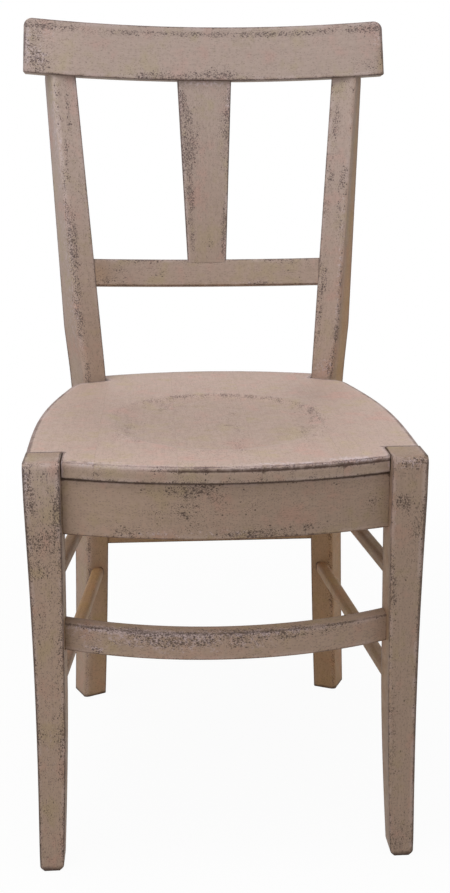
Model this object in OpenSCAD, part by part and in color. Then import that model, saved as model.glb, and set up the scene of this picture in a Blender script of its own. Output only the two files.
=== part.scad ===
// Wooden dining chair: bowed crest rail, tapered splat, raked back posts and a dished solid seat.
// Z is up from the floor, Y runs to the back, and left and right are as seen from the front.
// Sizes are laid out from the front legs' front faces, then the whole chair is centred on its origin.

/* [Seat] */
// Height of the seat's top above the floor
seat_height = 455; // [430:1:480]
// Thickness of the seat boards
seat_thickness = 18; // [15:1:22]
// Distance from the front legs' front faces to the back posts' front edges, at the bend
seat_depth = 394; // [370:1:420]
// How far the seat's front edge lies behind the front legs' faces where it meets them
seat_front_inset = 12; // [9:1:20]
// How far the seat's front edge curves forward between the legs
seat_front_bow = 32; // [24:1:42]
// How far the seat's sides stand out past the front legs
seat_overhang = 0.5; // [0:0.5:5]
// How far the seat's sides swell out behind the front legs
seat_side_swell = 4; // [2:1:10]
// How far the seat's rear corners stand out past the back posts
seat_corner_reach = 17; // [10:1:22]
// Length of the rounded rear corners of the seat
seat_corner_run = 24; // [16:1:32]
// How far the tail of the seat runs back past the posts' front edges, at its corners
seat_tail_reach = 38; // [30:1:42]
// How far the rear edge of the seat curves back between the posts
seat_tail_bow = 30; // [15:1:36]
// Gap round the legs and the posts where the seat is notched
notch_gap = 1.2; // [0.6:0.1:2]
// Width of each of the three inner seat boards
seat_board_width = 83; // [74:1:90]
// How far the middle seat board lies off the centre line
seat_board_shift = -8.5; // [-20:0.5:20]

/* [Dish in the seat] */
// Radius of the round dish
dish_radius = 124; // [100:1:130]
// Depth of the dish
dish_depth = 4; // [2:0.5:6]
// Width of the sloping rim of the dish
dish_rim = 16; // [8:1:25]
// Distance from the front legs' front faces to the middle of the dish
dish_setback = 194; // [185:1:205]

/* [Front legs] */
// Width of the chair over its front legs
frame_width = 407; // [385:1:430]
// Width of a front leg beside the apron, seen from the front
leg_width = 36.5; // [35:0.5:42]
// Width of a front leg where its taper starts
leg_waist_width = 33.5; // [32:0.5:34.5]
// Depth of a front leg, front to back
leg_depth = 44; // [42:0.5:48]
// Width of the foot of a front leg
foot_width = 25; // [20:0.5:29]
// Depth of the foot of a front leg
foot_depth = 28; // [24:0.5:36]
// Height at which the front legs start to taper
taper_height = 210; // [180:1:230]
// Size of the chamfer round the foot of a front leg
foot_chamfer = 4; // [2:0.5:6]
// Radius of the rounded top edges of a front leg
leg_top_radius = 7; // [3:0.5:9]
// How far the front legs stand above the seat
leg_top_rise = 1; // [0:0.5:3]

/* [Back posts] */
// Distance from the centre line to a back post's front edge, at seat height
post_spread = 158.5; // [150:0.5:168]
// Width of a back post's front face at its foot
post_foot_width = 32; // [30:0.5:34]
// Width of a back post's front face at the bend
post_width = 28.5; // [26:0.5:30]
// Width of a back post's front face, in its upper part
post_top_width = 33.5; // [30.5:0.5:36]
// Height at which the back posts reach their full width
post_flare_height = 520; // [500:5:640]
// Depth of a back post at its foot
post_foot_depth = 36; // [34:1:42]
// Depth of a back post at the bend
post_bend_depth = 54; // [46:1:56]
// Depth of a back post under the crest rail
post_top_depth = 25; // [21:1:27]
// Size of the chamfer that trims the posts' tops to the back of the crest rail
post_top_chamfer = 12; // [8:1:16]
// Turn of the back posts about their own length, in degrees
post_turn = 26; // [22:1:29]
// Inward lean of the back posts, in degrees
post_lean = 1.1; // [0.6:0.1:1.6]
// How far the foot of a back post stands back from the bend
foot_kick = 22; // [14:1:30]
// Height of the bend in the back posts
bend_height = 440; // [425:1:455]
// Half of the height over which the bend is spread
bend_reach = 40; // [25:1:55]
// Rake of the back, in degrees from upright
back_rake = 11.8; // [9:0.2:14]

/* [Back rest] */
// Height of the crest rail's lower edge at its middle
crest_base = 838; // [820:1:850]
// Height of the crest rail
crest_height = 66; // [58:1:76]
// Thickness of the crest rail
crest_thickness = 22; // [21:1:28]
// Length of the crest rail along its lower edge
crest_length = 462; // [445:1:480]
// How much each end of the crest rail slopes in towards its top
crest_end_slope = 2.5; // [0:0.5:8]
// Radius of the crest rail's top corners
crest_top_radius = 11; // [6:1:16]
// Radius of the crest rail's lower corners
crest_low_radius = 3; // [2:0.5:5]
// How far the crest rail stands forward of the back posts
crest_proud = 1.5; // [0:0.5:4]
// Radius to which the crest rail and the lower back rail are bowed
back_bow_radius = 720; // [660:10:860]
// Height of the lower back rail
lower_rail_height = 35; // [30:1:44]
// Thickness of the lower back rail
lower_rail_thickness = 18; // [16:1:20]
// Distance from the crest rail's lower edge down to the lower back rail
back_opening = 235; // [215:1:250]
// How far the lower back rail lies behind the crest rail's face
lower_rail_inset = 5; // [4:0.5:7]
// Width of the splat at its top
splat_top_width = 71; // [60:1:80]
// Width of the splat at its foot
splat_foot_width = 51; // [42:1:58]
// Thickness of the splat
splat_thickness = 13; // [11:0.5:14]
// Depth that the splat's tenons go into the rails
splat_tenon_length = 12; // [8:1:16]

/* [Aprons] */
// Height of the four aprons under the seat
apron_height = 60; // [50:1:70]
// Thickness of the four aprons
apron_thickness = 20; // [18:1:21]
// How far the front apron lies behind the front legs' faces where it meets them
apron_inset = 15; // [12:1:16]
// How far the front apron curves forward between the legs
apron_bow = 28; // [15:1:34]
// How far the rear apron lies behind the back posts' front edges
rear_apron_inset = 20; // [19:0.5:22]
// Length of a corner block along each apron, from the corner where the aprons' faces meet
block_reach = 65; // [58:1:72]
// Height of the corner blocks
block_height = 40; // [34:1:46]

/* [Stretchers] */
// Height of the front stretcher's lower edge above the floor
front_stretcher_base = 249; // [240:1:262]
// Height of the front stretcher
front_stretcher_height = 30; // [26:1:34]
// Thickness of the front stretcher
front_stretcher_thickness = 19; // [16:1:21]
// How far the front stretcher lies behind the front legs' faces where it meets them
front_stretcher_inset = 17; // [12:1:18]
// How far the front stretcher curves forward between the legs
front_stretcher_bow = 36; // [20:1:40]
// Height of the rear stretcher's lower edge above the floor
rear_stretcher_base = 228; // [215:1:250]
// Height of the rear stretcher
rear_stretcher_height = 28; // [24:1:34]
// Thickness of the rear stretcher
rear_stretcher_thickness = 18; // [15:1:20]
// How far the rear stretcher lies behind the back posts' front edges
rear_stretcher_inset = 20; // [19:0.5:22]
// Height of the middle of the upper side stretchers above the floor
upper_side_level = 310; // [302:1:330]
// Height of the middle of the lower side stretchers above the floor
lower_side_level = 189; // [175:1:198]
// Width and height of a side stretcher
side_stretcher_size = 15; // [12:0.5:17]
// Radius of the side stretchers' rounded edges
side_stretcher_radius = 4.5; // [2:0.5:5]

/* [Joints and fixings] */
// Depth that the rails' tenons go into the legs and posts
tenon_length = 12; // [8:1:13]
// Thickness of the rails' tenons
tenon_thickness = 9; // [7:0.5:10]
// How much lower and higher a rail is than its tenon, at each edge
tenon_shoulder = 5; // [4:0.5:7]
// Diameter of the round tenons of the side stretchers and the back posts
round_tenon_diameter = 10; // [8:0.5:11]
// Length of the round tenons on top of the back posts
post_tenon_length = 24; // [16:1:30]
// Gap round every tenon and screw in its hole
fit_clearance = 0.15; // [0.1:0.05:0.25]
// Space left past the end of a tenon in its hole
end_space = 1; // [0.5:0.25:1.5]
// Diameter of the screws' shanks
screw_diameter = 4; // [3:0.5:5]
// Diameter of the screws' heads
screw_head_diameter = 8; // [7:0.5:9]
// Thickness of the screws' heads
screw_head_height = 3; // [2:0.5:4]
// Depth that the screws go into the aprons and the seat
screw_bite = 12; // [8:0.5:13]
// Depth to which the screws' heads are sunk into the corner blocks
screw_sink = 8; // [6:0.5:10]

/* [Hidden] */

// Facets of the wide bowed faces, and of small round things
bow_steps = 360;
round_steps = 48;
// Steps along the back posts' profile, the legs' taper, the seat's edges and rounded corners
profile_steps = 48;
taper_steps = 7;
edge_steps = 20;
corner_steps = 6;
// Longer than anything on the chair, and a short overlap for cuts
far = 1200;
over = 5;

half_frame = frame_width / 2;
leg_inner = half_frame - leg_width;
leg_top = seat_height + leg_top_rise;
seat_base = seat_height - seat_thickness;
apron_base = seat_base - apron_height;
// How sharply the legs' taper gathers towards the foot
taper_power = 1.4;
// Distance from the centre line to a front leg's inner face, above the taper
function leg_face_x(z) = leg_inner
    + (leg_width - leg_waist_width) * max(0, apron_base - z) / (apron_base - taper_height);
// Centre of each front leg, seen from above
leg_centre_x = half_frame - leg_width / 2;

// Radius of an arc that rises by bow over half of its chord
function arc_radius(half_chord, bow) = (half_chord * half_chord + bow * bow) / (2 * bow);
// How far an arc has fallen back at a distance from its middle
function arc_drop(radius, distance) = radius - sqrt(radius * radius - distance * distance);
// Points of a round corner
function corner(centre, radius, from, to) = [
    for (i = [0:corner_steps])
        let (angle = from + (to - from) * i / corner_steps)
        centre + radius * [cos(angle), sin(angle)]
];
// Points of a cubic curve with four control points
function curve(a, b, c, d) = [
    for (i = [0:edge_steps])
        let (t = i / edge_steps, s = 1 - t)
        s * s * s * a + 3 * s * s * t * b + 3 * s * t * t * c + t * t * t * d
];

// Back posts: the slope of their upper part in their own plane, and the profile's front edge
post_slope = tan(back_rake) / cos(post_turn);
function lower_run(z) = foot_kick * pow(max(0, bend_height - z) / bend_height, 2);
function bend_run(h) = h >= bend_reach ? post_slope * h
    : h <= -bend_reach ? 0
    : post_slope * pow(h + bend_reach, 2) / (4 * bend_reach);
function post_front(z) = lower_run(z) + bend_run(z - bend_height);
function post_depth(z) = z < bend_height
    ? post_foot_depth + (post_bend_depth - post_foot_depth) * z / bend_height
    : post_bend_depth + (post_top_depth - post_bend_depth) * (z - bend_height) / (crest_base - bend_height);
// How much wider than at the bend a back post is, above it and below it
function post_flare(z) = (post_top_width - post_width)
    * min(1, max(0, (z - bend_height) / (post_flare_height - bend_height)));
function post_splay(z) = (post_foot_width - post_width) * max(0, bend_height - z) / bend_height;
// Place of a back post's front edge, and of a point across its front face, at a height
function post_edge(z) = [
    post_spread + post_front(z) * sin(post_turn) - (z - seat_height) * tan(post_lean),
    seat_depth + post_front(z) * cos(post_turn)
] + post_flare(z) * [cos(post_turn), -sin(post_turn)];
function post_face(z, across) = post_edge(z) + across * [-cos(post_turn), sin(post_turn)];

// The back rest's own plane: its origin is the crest rail's lower front edge, at its middle
back_y = post_edge(crest_base)[1] + arc_drop(back_bow_radius, post_edge(crest_base)[0]) - crest_proud;
lower_rail_top = -back_opening;
lower_rail_base = lower_rail_top - lower_rail_height;
lower_rail_level = crest_base - (back_opening + lower_rail_height / 2) * cos(back_rake);
splat_back_gap = (crest_thickness - splat_thickness) / 2;

// The chair's foremost and rearmost reach, which centre it on the origin
front_reach = min(
    seat_front_inset - seat_front_bow,
    apron_inset - apron_bow,
    front_stretcher_inset - front_stretcher_bow
);
rear_reach = back_y + crest_thickness * cos(back_rake) + crest_height * sin(back_rake);
middle_y = (front_reach + rear_reach) / 2;

// Seat boards: the lines where they are glued together
seat_joints = [for (i = [-1.5:1:1.5]) seat_board_shift + i * seat_board_width];

// Corner blocks: their level, and the levels of their screws
block_base = seat_base - block_height;
screw_level = seat_base - block_height / 2;
screw_spacing = block_reach * 0.5;
seat_screw_inset = block_reach * 0.3;

module centred() {
    translate([0, -middle_y, 0]) children();
}

// Draws a right-hand piece on the side asked for
module on_side(side) {
    if (side > 0) children();
    else mirror([1, 0, 0]) children();
}

// A flat outline of x and z, given a depth along y
module between_y(y0, y1) {
    translate([0, y1, 0]) rotate([90, 0, 0]) linear_extrude(y1 - y0) children();
}

// A flat outline of y and z, given a width along x
module between_x(x0, x1) {
    translate([x0, 0, 0]) rotate([90, 0, 90]) linear_extrude(x1 - x0) children();
}

// Plan of a bar whose front face is hollow, with that face's middle at the origin
module hollow_plan(radius, thickness, half_length) {
    intersection() {
        translate([0, -radius]) difference() {
            circle(radius + thickness, $fn = bow_steps);
            circle(radius, $fn = bow_steps);
        }
        translate([-half_length, -radius / 2]) square([2 * half_length, radius]);
    }
}

// Plan of a bar that bulges forward, with its front face's middle at the origin
module bulging_plan(radius, thickness, half_length) {
    translate([0, thickness]) mirror([0, 1]) hollow_plan(radius - thickness, thickness, half_length);
}

module back_plane() {
    translate([0, back_y, crest_base]) rotate([-back_rake, 0, 0]) children();
}

// Front legs

module leg_face_outline() {
    taper = [
        for (i = [0:taper_steps])
            let (t = i / taper_steps, narrowing = (leg_waist_width - foot_width) * pow(t, taper_power))
            [half_frame - leg_waist_width + narrowing, max(taper_height * (1 - t), foot_chamfer)]
    ];
    polygon(concat(
        [[leg_inner, leg_top], [leg_inner, apron_base]],
        taper,
        [[half_frame - foot_width + foot_chamfer, 0], [half_frame - foot_chamfer, 0]],
        [[half_frame, foot_chamfer]],
        corner([half_frame - leg_top_radius, leg_top - leg_top_radius], leg_top_radius, 0, 90)
    ));
}

module leg_side_outline() {
    taper = [
        for (i = [0:taper_steps])
            let (t = 1 - i / taper_steps, z = taper_height * (1 - t))
            [leg_depth - (leg_depth - foot_depth) * pow(t, taper_power), max(z, foot_chamfer)]
    ];
    polygon(concat(
        [[0, foot_chamfer], [foot_chamfer, 0], [foot_depth - foot_chamfer, 0]],
        taper,
        [[leg_depth, leg_top]],
        corner([leg_top_radius, leg_top - leg_top_radius], leg_top_radius, 90, 180)
    ));
}

module leg_blank() {
    intersection() {
        between_y(-over, leg_depth + over) leg_face_outline();
        between_x(leg_inner - over, half_frame + over) leg_side_outline();
    }
}

// Back posts

// Height at which a post's blank ends, inside the crest rail
post_blank_top = crest_base + crest_height / 2;

module post_side_outline(grow) {
    heights = [for (i = [0:profile_steps]) -over + (post_blank_top + over) * i / profile_steps];
    polygon(concat(
        [for (z = heights) [post_front(z) - grow, z]],
        [for (i = [profile_steps:-1:0]) [post_front(heights[i]) + post_depth(heights[i]) + grow, heights[i]]]
    ));
}

module post_face_outline(grow) {
    flare = post_flare(far);
    polygon([
        [-post_width - post_splay(-2 * over) - grow, -2 * over], [grow, -2 * over], [grow, bend_height],
        [flare + grow, post_flare_height], [flare + grow, post_blank_top + over],
        [-post_width - grow, post_blank_top + over], [-post_width - grow, bend_height]
    ]);
}

// The post before it is cut, made larger all round by grow
module post_blank(grow = 0) {
    translate([post_spread, seat_depth, seat_height])
        rotate([0, -post_lean, 0])
        rotate([0, 0, -post_turn])
        translate([0, 0, -seat_height])
        intersection() {
            between_x(-far / 10, post_top_width) post_side_outline(grow);
            between_y(-far / 2, far / 2) post_face_outline(grow);
        }
}

// Axis of the round tenon on a post's top, in the back rest's plane
post_tenon_x = post_edge(crest_base)[0]
    - 0.5 * (post_top_width * cos(post_turn) - post_top_depth * sin(post_turn));
post_tenon_y = crest_thickness / 2 - arc_drop(back_bow_radius, post_tenon_x);

module post_tenon(gap = 0, space = 0) {
    back_plane() translate([post_tenon_x, post_tenon_y, -post_tenon_length])
        cylinder(d = round_tenon_diameter + 2 * gap, h = 2 * post_tenon_length + space, $fn = round_steps);
}

// Everything behind a cone that runs up to the back of the crest rail
module post_top_trim() {
    edge = back_bow_radius + 0.95 * crest_thickness;
    back_plane() translate([0, -back_bow_radius, 0]) rotate_extrude($fn = bow_steps)
        polygon([
            [edge, over], [edge, 0], [edge + post_top_chamfer, -post_top_chamfer],
            [edge + far / 10, -post_top_chamfer], [edge + far / 10, over]
        ]);
}

// Aprons and stretchers that run across the chair

module front_bar(base, height, thickness, inset, bow, half_length) {
    translate([0, inset - bow, base]) linear_extrude(height)
        bulging_plan(arc_radius(leg_inner, bow), thickness, half_length);
}

module front_bar_tenon(base, height, thickness, inset, bow, reach, gap = 0) {
    side_gap = (thickness - tenon_thickness) / 2 - gap;
    translate([0, inset - bow + side_gap, base + tenon_shoulder - gap])
        linear_extrude(height - 2 * tenon_shoulder + 2 * gap)
        bulging_plan(
            arc_radius(leg_inner, bow) - side_gap,
            tenon_thickness + 2 * gap,
            reach
        );
}

module front_apron_blank() {
    front_bar(apron_base, apron_height, apron_thickness, apron_inset, apron_bow, leg_inner);
}

module front_apron_tenon(gap = 0, space = 0) {
    front_bar_tenon(
        apron_base, apron_height, apron_thickness, apron_inset, apron_bow,
        leg_inner + tenon_length + space, gap
    );
}

module front_stretcher_tenon(gap = 0, space = 0) {
    front_bar_tenon(
        front_stretcher_base, front_stretcher_height, front_stretcher_thickness,
        front_stretcher_inset, front_stretcher_bow,
        leg_face_x(front_stretcher_base) + tenon_length + space, gap
    );
}

// Half length of a straight bar between the back posts, taken well into them
function rear_half(z) = post_face(z, post_width / 2)[0] + over;

module rear_bar(base, height, thickness, inset) {
    half = rear_half(base + height / 2);
    translate([-half, seat_depth + inset, base]) cube([2 * half, thickness, height]);
}

module rear_bar_tenon(base, height, thickness, inset, gap = 0, space = 0) {
    width = post_width + post_splay(base + height / 2);
    inner = post_face(base + height / 2, width)[0] + (inset + thickness / 2) * tan(post_turn) * 0.5;
    half = inner + tenon_length + space;
    front = seat_depth + inset + (thickness - tenon_thickness) / 2 - gap;
    translate([-half, front, base + tenon_shoulder - gap])
        cube([2 * half, tenon_thickness + 2 * gap, height - 2 * tenon_shoulder + 2 * gap]);
}

module rear_apron_tenon(gap = 0, space = 0) {
    rear_bar_tenon(apron_base, apron_height, apron_thickness, rear_apron_inset, gap, space);
}

module rear_stretcher_tenon(gap = 0, space = 0) {
    rear_bar_tenon(
        rear_stretcher_base, rear_stretcher_height, rear_stretcher_thickness,
        rear_stretcher_inset, gap, space
    );
}

// Aprons and stretchers that run from front to back

// Moves to a front leg's rear face and turns y along the side bar that ends on the back post
module along_side(z) {
    run = post_face(z, post_width / 2) - [leg_centre_x, leg_depth];
    translate([leg_centre_x, leg_depth, 0]) rotate([0, 0, -atan(run[0] / run[1])]) children();
}

function side_length(z) = norm(post_face(z, post_width / 2) - [leg_centre_x, leg_depth]);

module side_apron_blank() {
    z = apron_base + apron_height / 2;
    along_side(z) translate([-apron_thickness / 2, -over, apron_base])
        cube([apron_thickness, side_length(z) + 2 * over, apron_height]);
}

module side_apron_tenon(gap = 0, space = 0) {
    z = apron_base + apron_height / 2;
    along_side(z) translate([
        -tenon_thickness / 2 - gap, -tenon_length - space, apron_base + tenon_shoulder - gap
    ]) cube([
        tenon_thickness + 2 * gap,
        side_length(z) + 2 * (tenon_length + space),
        apron_height - 2 * tenon_shoulder + 2 * gap
    ]);
}

module side_stretcher_section() {
    flat = side_stretcher_size - 2 * side_stretcher_radius;
    union() {
        square([side_stretcher_size, flat], center = true);
        square([flat, side_stretcher_size], center = true);
        for (x = [-0.5, 0.5], y = [-0.5, 0.5])
            translate([x * flat, y * flat]) circle(side_stretcher_radius, $fn = round_steps);
    }
}

module side_stretcher_blank(z) {
    along_side(z) translate([0, -over, z]) rotate([-90, 0, 0])
        linear_extrude(side_length(z) + 2 * over) side_stretcher_section();
}

module side_stretcher_tenon(z, gap = 0, space = 0) {
    along_side(z) translate([0, -tenon_length - space, z]) rotate([-90, 0, 0])
        cylinder(
            d = round_tenon_diameter + 2 * gap,
            h = side_length(z) + 2 * (tenon_length + space),
            $fn = round_steps
        );
}

// Corner blocks and their screws, on the right-hand side

function apron_inner_y(x) = apron_inset - apron_bow + apron_thickness
    + arc_drop(arc_radius(leg_inner, apron_bow) - apron_thickness, x);
apron_level = apron_base + apron_height / 2;
// Inner face of the side apron at a distance from the front
function side_apron_inner_x(y) = leg_centre_x - apron_thickness / 2
    + (post_face(apron_level, post_width / 2)[0] - leg_centre_x) * (y - leg_depth)
    / (post_face(apron_level, post_width / 2)[1] - leg_depth);
rear_apron_y = seat_depth + rear_apron_inset;

// Where the aprons' inner faces meet, at the front and at the rear
front_corner = [side_apron_inner_x(leg_depth), apron_inner_y(leg_inner)];
rear_corner = [side_apron_inner_x(seat_depth), rear_apron_y];
// Each block's outline: against the straight aprons, and cut later to the curved one, the leg and the post
front_block = [
    [leg_inner + over, front_corner[1] - over],
    [front_corner[0] - block_reach, apron_inner_y(front_corner[0] - block_reach) - apron_thickness / 2],
    [side_apron_inner_x(front_corner[1] + block_reach), front_corner[1] + block_reach],
    [side_apron_inner_x(leg_depth - over), leg_depth - over]
];
rear_block = [
    [side_apron_inner_x(rear_apron_y), rear_apron_y],
    [rear_corner[0] - block_reach, rear_apron_y],
    [side_apron_inner_x(rear_apron_y - block_reach), rear_apron_y - block_reach]
];
// Each screw: where it enters its apron, seen from above
front_cross = [front_corner[0] - screw_spacing, apron_inner_y(front_corner[0] - screw_spacing)];
front_side = [side_apron_inner_x(front_corner[1] + screw_spacing), front_corner[1] + screw_spacing];
rear_cross = [rear_corner[0] - screw_spacing, rear_apron_y];
rear_side = [side_apron_inner_x(rear_apron_y - screw_spacing), rear_apron_y - screw_spacing];
// Each seat screw, seen from above
front_seat_screw = front_corner + [-seat_screw_inset, seat_screw_inset];
rear_seat_screw = rear_corner - [seat_screw_inset, seat_screw_inset];

// Where a line along x or y from a point on an apron leaves the block's long face
function cross_way(block, point) =
    block[1] + (block[2] - block[1]) * (point[0] - block[1][0]) / (block[2][0] - block[1][0]);
function side_way(block, point) =
    block[1] + (block[2] - block[1]) * (point[1] - block[1][1]) / (block[2][1] - block[1][1]);

// A screw whose tip points along y, drawn from the face that it bites into, or the hole for it
module screw(through, gap = 0, sink = 0) {
    rotate([-90, 0, 0]) {
        translate([0, 0, -through]) cylinder(
            d = screw_diameter + 2 * gap, h = through + screw_bite + 2 * gap, $fn = round_steps
        );
        translate([0, 0, -through - (sink > 0 ? sink : screw_head_height)]) cylinder(
            d = screw_head_diameter + 2 * gap, h = sink > 0 ? sink : screw_head_height, $fn = round_steps
        );
    }
}

// The screws through the blocks on one side into the aprons, or the holes for them
module block_screws(gap = 0, sink = 0) {
    front_depth = cross_way(front_block, front_cross)[1] - front_cross[1] - screw_sink;
    side_depth = front_side[0] - side_way(front_block, front_side)[0] - screw_sink;
    rear_depth = rear_cross[1] - cross_way(rear_block, rear_cross)[1] - screw_sink;
    back_depth = rear_side[0] - side_way(rear_block, rear_side)[0] - screw_sink;
    translate([front_cross[0], front_cross[1], screw_level]) rotate([0, 0, 180]) screw(front_depth, gap, sink);
    translate([front_side[0], front_side[1], screw_level]) rotate([0, 0, -90]) screw(side_depth, gap, sink);
    translate([rear_cross[0], rear_cross[1], screw_level]) screw(rear_depth, gap, sink);
    translate([rear_side[0], rear_side[1], screw_level]) rotate([0, 0, -90]) screw(back_depth, gap, sink);
}

// The screws that go up through the blocks on one side into the seat, or the holes for them
module seat_fixings(gap = 0, sink = 0) {
    for (place = [front_seat_screw, rear_seat_screw])
        translate([place[0], place[1], seat_base]) rotate([90, 0, 0])
            screw(block_height - screw_sink, gap, sink);
}

module corner_block(points) {
    difference() {
        translate([0, 0, block_base]) linear_extrude(block_height) polygon(points);
        front_apron_blank();
        leg_blank();
        post_blank();
        block_screws(fit_clearance, far / 10);
        seat_fixings(fit_clearance, far / 10);
    }
}

// Seat

seat_edge_radius = arc_radius(leg_inner, seat_front_bow);
tail_half = post_face(seat_height, post_width / 2)[0] + seat_tail_reach * tan(post_turn) * 0.5;

function front_edge_point(x) = [x, seat_front_inset - seat_front_bow + arc_drop(seat_edge_radius, abs(x))];
function tail_point(x) = [
    x,
    post_edge(seat_height)[1] + seat_tail_reach + seat_tail_bow
        - arc_drop(arc_radius(tail_half, seat_tail_bow), abs(x))
];

// Right-hand side of the seat's edge, from the front leg round to the back post
side_start = [half_frame + seat_overhang, leg_depth];
side_end = post_edge(seat_height) + [seat_corner_reach, -seat_corner_run];
side_swing = side_end[1] - side_start[1];
seat_side = concat(
    curve(
        side_start,
        side_start + [seat_side_swell, side_swing * 0.44],
        side_start + [seat_side_swell / 3, side_swing * 0.62],
        side_end
    ),
    curve(
        side_end,
        side_end + [-seat_corner_reach * 0.18, seat_corner_run * 0.5],
        side_end + [-seat_corner_reach * 0.41, seat_corner_run * 0.8],
        post_edge(seat_height) + [1, 1]
    )
);

module seat_outline() {
    front_half = leg_inner + over;
    polygon(concat(
        [for (i = [-edge_steps:edge_steps]) front_edge_point(front_half * i / edge_steps)],
        seat_side,
        [for (i = [edge_steps:-1:-edge_steps]) tail_point(tail_half * i / edge_steps)],
        [for (i = [len(seat_side) - 1:-1:0]) [-seat_side[i][0], seat_side[i][1]]]
    ));
}

module seat_dish() {
    translate([0, dish_setback, seat_height]) rotate_extrude($fn = 2 * bow_steps)
        polygon([
            [0, -dish_depth], [dish_radius - dish_rim, -dish_depth], [dish_radius, 0],
            [dish_radius + over, over], [0, over]
        ]);
}

// The whole seat between two lines across it
module seat_part(x0, x1) {
    difference() {
        translate([0, 0, seat_base]) linear_extrude(seat_thickness) intersection() {
            seat_outline();
            translate([x0, -far / 2]) square([x1 - x0, 2 * far]);
        }
        for (side = [-1, 1]) on_side(side) {
            translate([leg_inner - notch_gap, -far / 2, seat_base - over])
                cube([far, far / 2 + leg_depth + notch_gap, seat_thickness + 2 * over]);
            post_blank(notch_gap);
            seat_fixings(fit_clearance, screw_sink);
        }
        seat_dish();
    }
}

module seat_board(index) {
    x0 = index == 0 ? -far / 2 : seat_joints[index - 1];
    x1 = index == 4 ? far / 2 : seat_joints[index];
    color("rosybrown") centred() seat_part(x0, x1);
}

// Pieces of the back rest

module crest_outline() {
    low = crest_length / 2;
    high = low - crest_end_slope;
    right = concat(
        corner([low - crest_low_radius, crest_low_radius], crest_low_radius, -90, 0),
        corner([high - crest_top_radius, crest_height - crest_top_radius], crest_top_radius, 0, 90)
    );
    polygon(concat(right, [for (i = [len(right) - 1:-1:0]) [-right[i][0], right[i][1]]]));
}

module splat_tenons(gap = 0, space = 0) {
    depth = splat_tenon_length + space;
    thickness = splat_thickness - tenon_shoulder + 2 * gap;
    front = splat_back_gap + tenon_shoulder / 2 - gap;
    for (end = [[splat_top_width, -over, depth + over], [splat_foot_width, lower_rail_top - depth, depth + over]])
        translate([-end[0] / 2 + tenon_shoulder - gap, front, end[1]])
            cube([end[0] - 2 * tenon_shoulder + 2 * gap, thickness, end[2]]);
}

module lower_rail_tenon(gap = 0, space = 0) {
    front = lower_rail_inset + (lower_rail_thickness - tenon_thickness) / 2 - gap;
    back_plane() translate([0, front, lower_rail_base + tenon_shoulder - gap])
        linear_extrude(lower_rail_height - 2 * tenon_shoulder + 2 * gap)
        hollow_plan(
            back_bow_radius + front,
            tenon_thickness + 2 * gap,
            post_face(lower_rail_level, post_width + post_flare(lower_rail_level))[0] + tenon_length + space
        );
}

module crest_rail() {
    color("rosybrown") centred() difference() {
        back_plane() difference() {
            intersection() {
                linear_extrude(crest_height)
                    hollow_plan(back_bow_radius, crest_thickness, crest_length / 2 + over);
                between_y(-far / 10, crest_thickness + over) crest_outline();
            }
            splat_tenons(fit_clearance, end_space);
        }
        for (side = [-1, 1]) on_side(side) post_tenon(fit_clearance, end_space);
    }
}

module back_splat() {
    top = splat_top_width / 2;
    foot = splat_foot_width / 2;
    color("rosybrown") centred() back_plane() union() {
        between_y(splat_back_gap, splat_back_gap + splat_thickness)
            polygon([[-foot, lower_rail_top], [foot, lower_rail_top], [top, 0], [-top, 0]]);
        splat_tenons();
    }
}

module lower_back_rail() {
    color("rosybrown") centred() union() {
        difference() {
            back_plane() difference() {
                translate([0, lower_rail_inset, lower_rail_base]) linear_extrude(lower_rail_height)
                    hollow_plan(
                        back_bow_radius + lower_rail_inset,
                        lower_rail_thickness,
                        post_face(lower_rail_level, post_width / 2)[0] + over
                    );
                splat_tenons(fit_clearance, end_space);
            }
            for (side = [-1, 1]) on_side(side) post_blank();
        }
        lower_rail_tenon();
    }
}

module back_post(side) {
    color("rosybrown") centred() on_side(side) difference() {
        union() {
            difference() {
                post_blank();
                back_plane() translate([-far / 2, -far / 2, 0]) cube(far);
                post_top_trim();
                translate([-far / 2, -far / 2, -far]) cube([far, 2 * far, far]);
            }
            post_tenon();
        }
        lower_rail_tenon(fit_clearance, end_space);
        rear_apron_tenon(fit_clearance, end_space);
        rear_stretcher_tenon(fit_clearance, end_space);
        side_apron_tenon(fit_clearance, end_space);
        side_stretcher_tenon(upper_side_level, fit_clearance, end_space);
        side_stretcher_tenon(lower_side_level, fit_clearance, end_space);
    }
}

// Pieces of the seat frame and the legs

module front_leg(side) {
    color("tan") centred() on_side(side) difference() {
        leg_blank();
        front_apron_tenon(fit_clearance, end_space);
        front_stretcher_tenon(fit_clearance, end_space);
        side_apron_tenon(fit_clearance, end_space);
        side_stretcher_tenon(upper_side_level, fit_clearance, end_space);
        side_stretcher_tenon(lower_side_level, fit_clearance, end_space);
    }
}

module front_apron() {
    color("tan") centred() difference() {
        union() {
            front_apron_blank();
            front_apron_tenon();
        }
        for (side = [-1, 1]) on_side(side) block_screws(fit_clearance);
    }
}

module rear_apron() {
    color("tan") centred() difference() {
        union() {
            difference() {
                rear_bar(apron_base, apron_height, apron_thickness, rear_apron_inset);
                for (side = [-1, 1]) on_side(side) post_blank();
            }
            rear_apron_tenon();
        }
        for (side = [-1, 1]) on_side(side) block_screws(fit_clearance);
    }
}

module side_apron(side) {
    color("tan") centred() on_side(side) difference() {
        union() {
            difference() {
                side_apron_blank();
                leg_blank();
                post_blank();
            }
            side_apron_tenon();
        }
        block_screws(fit_clearance);
    }
}

module front_stretcher() {
    color("tan") centred() union() {
        difference() {
            front_bar(
                front_stretcher_base, front_stretcher_height, front_stretcher_thickness,
                front_stretcher_inset, front_stretcher_bow, leg_face_x(front_stretcher_base) + over
            );
            for (side = [-1, 1]) on_side(side) leg_blank();
        }
        front_stretcher_tenon();
    }
}

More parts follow.
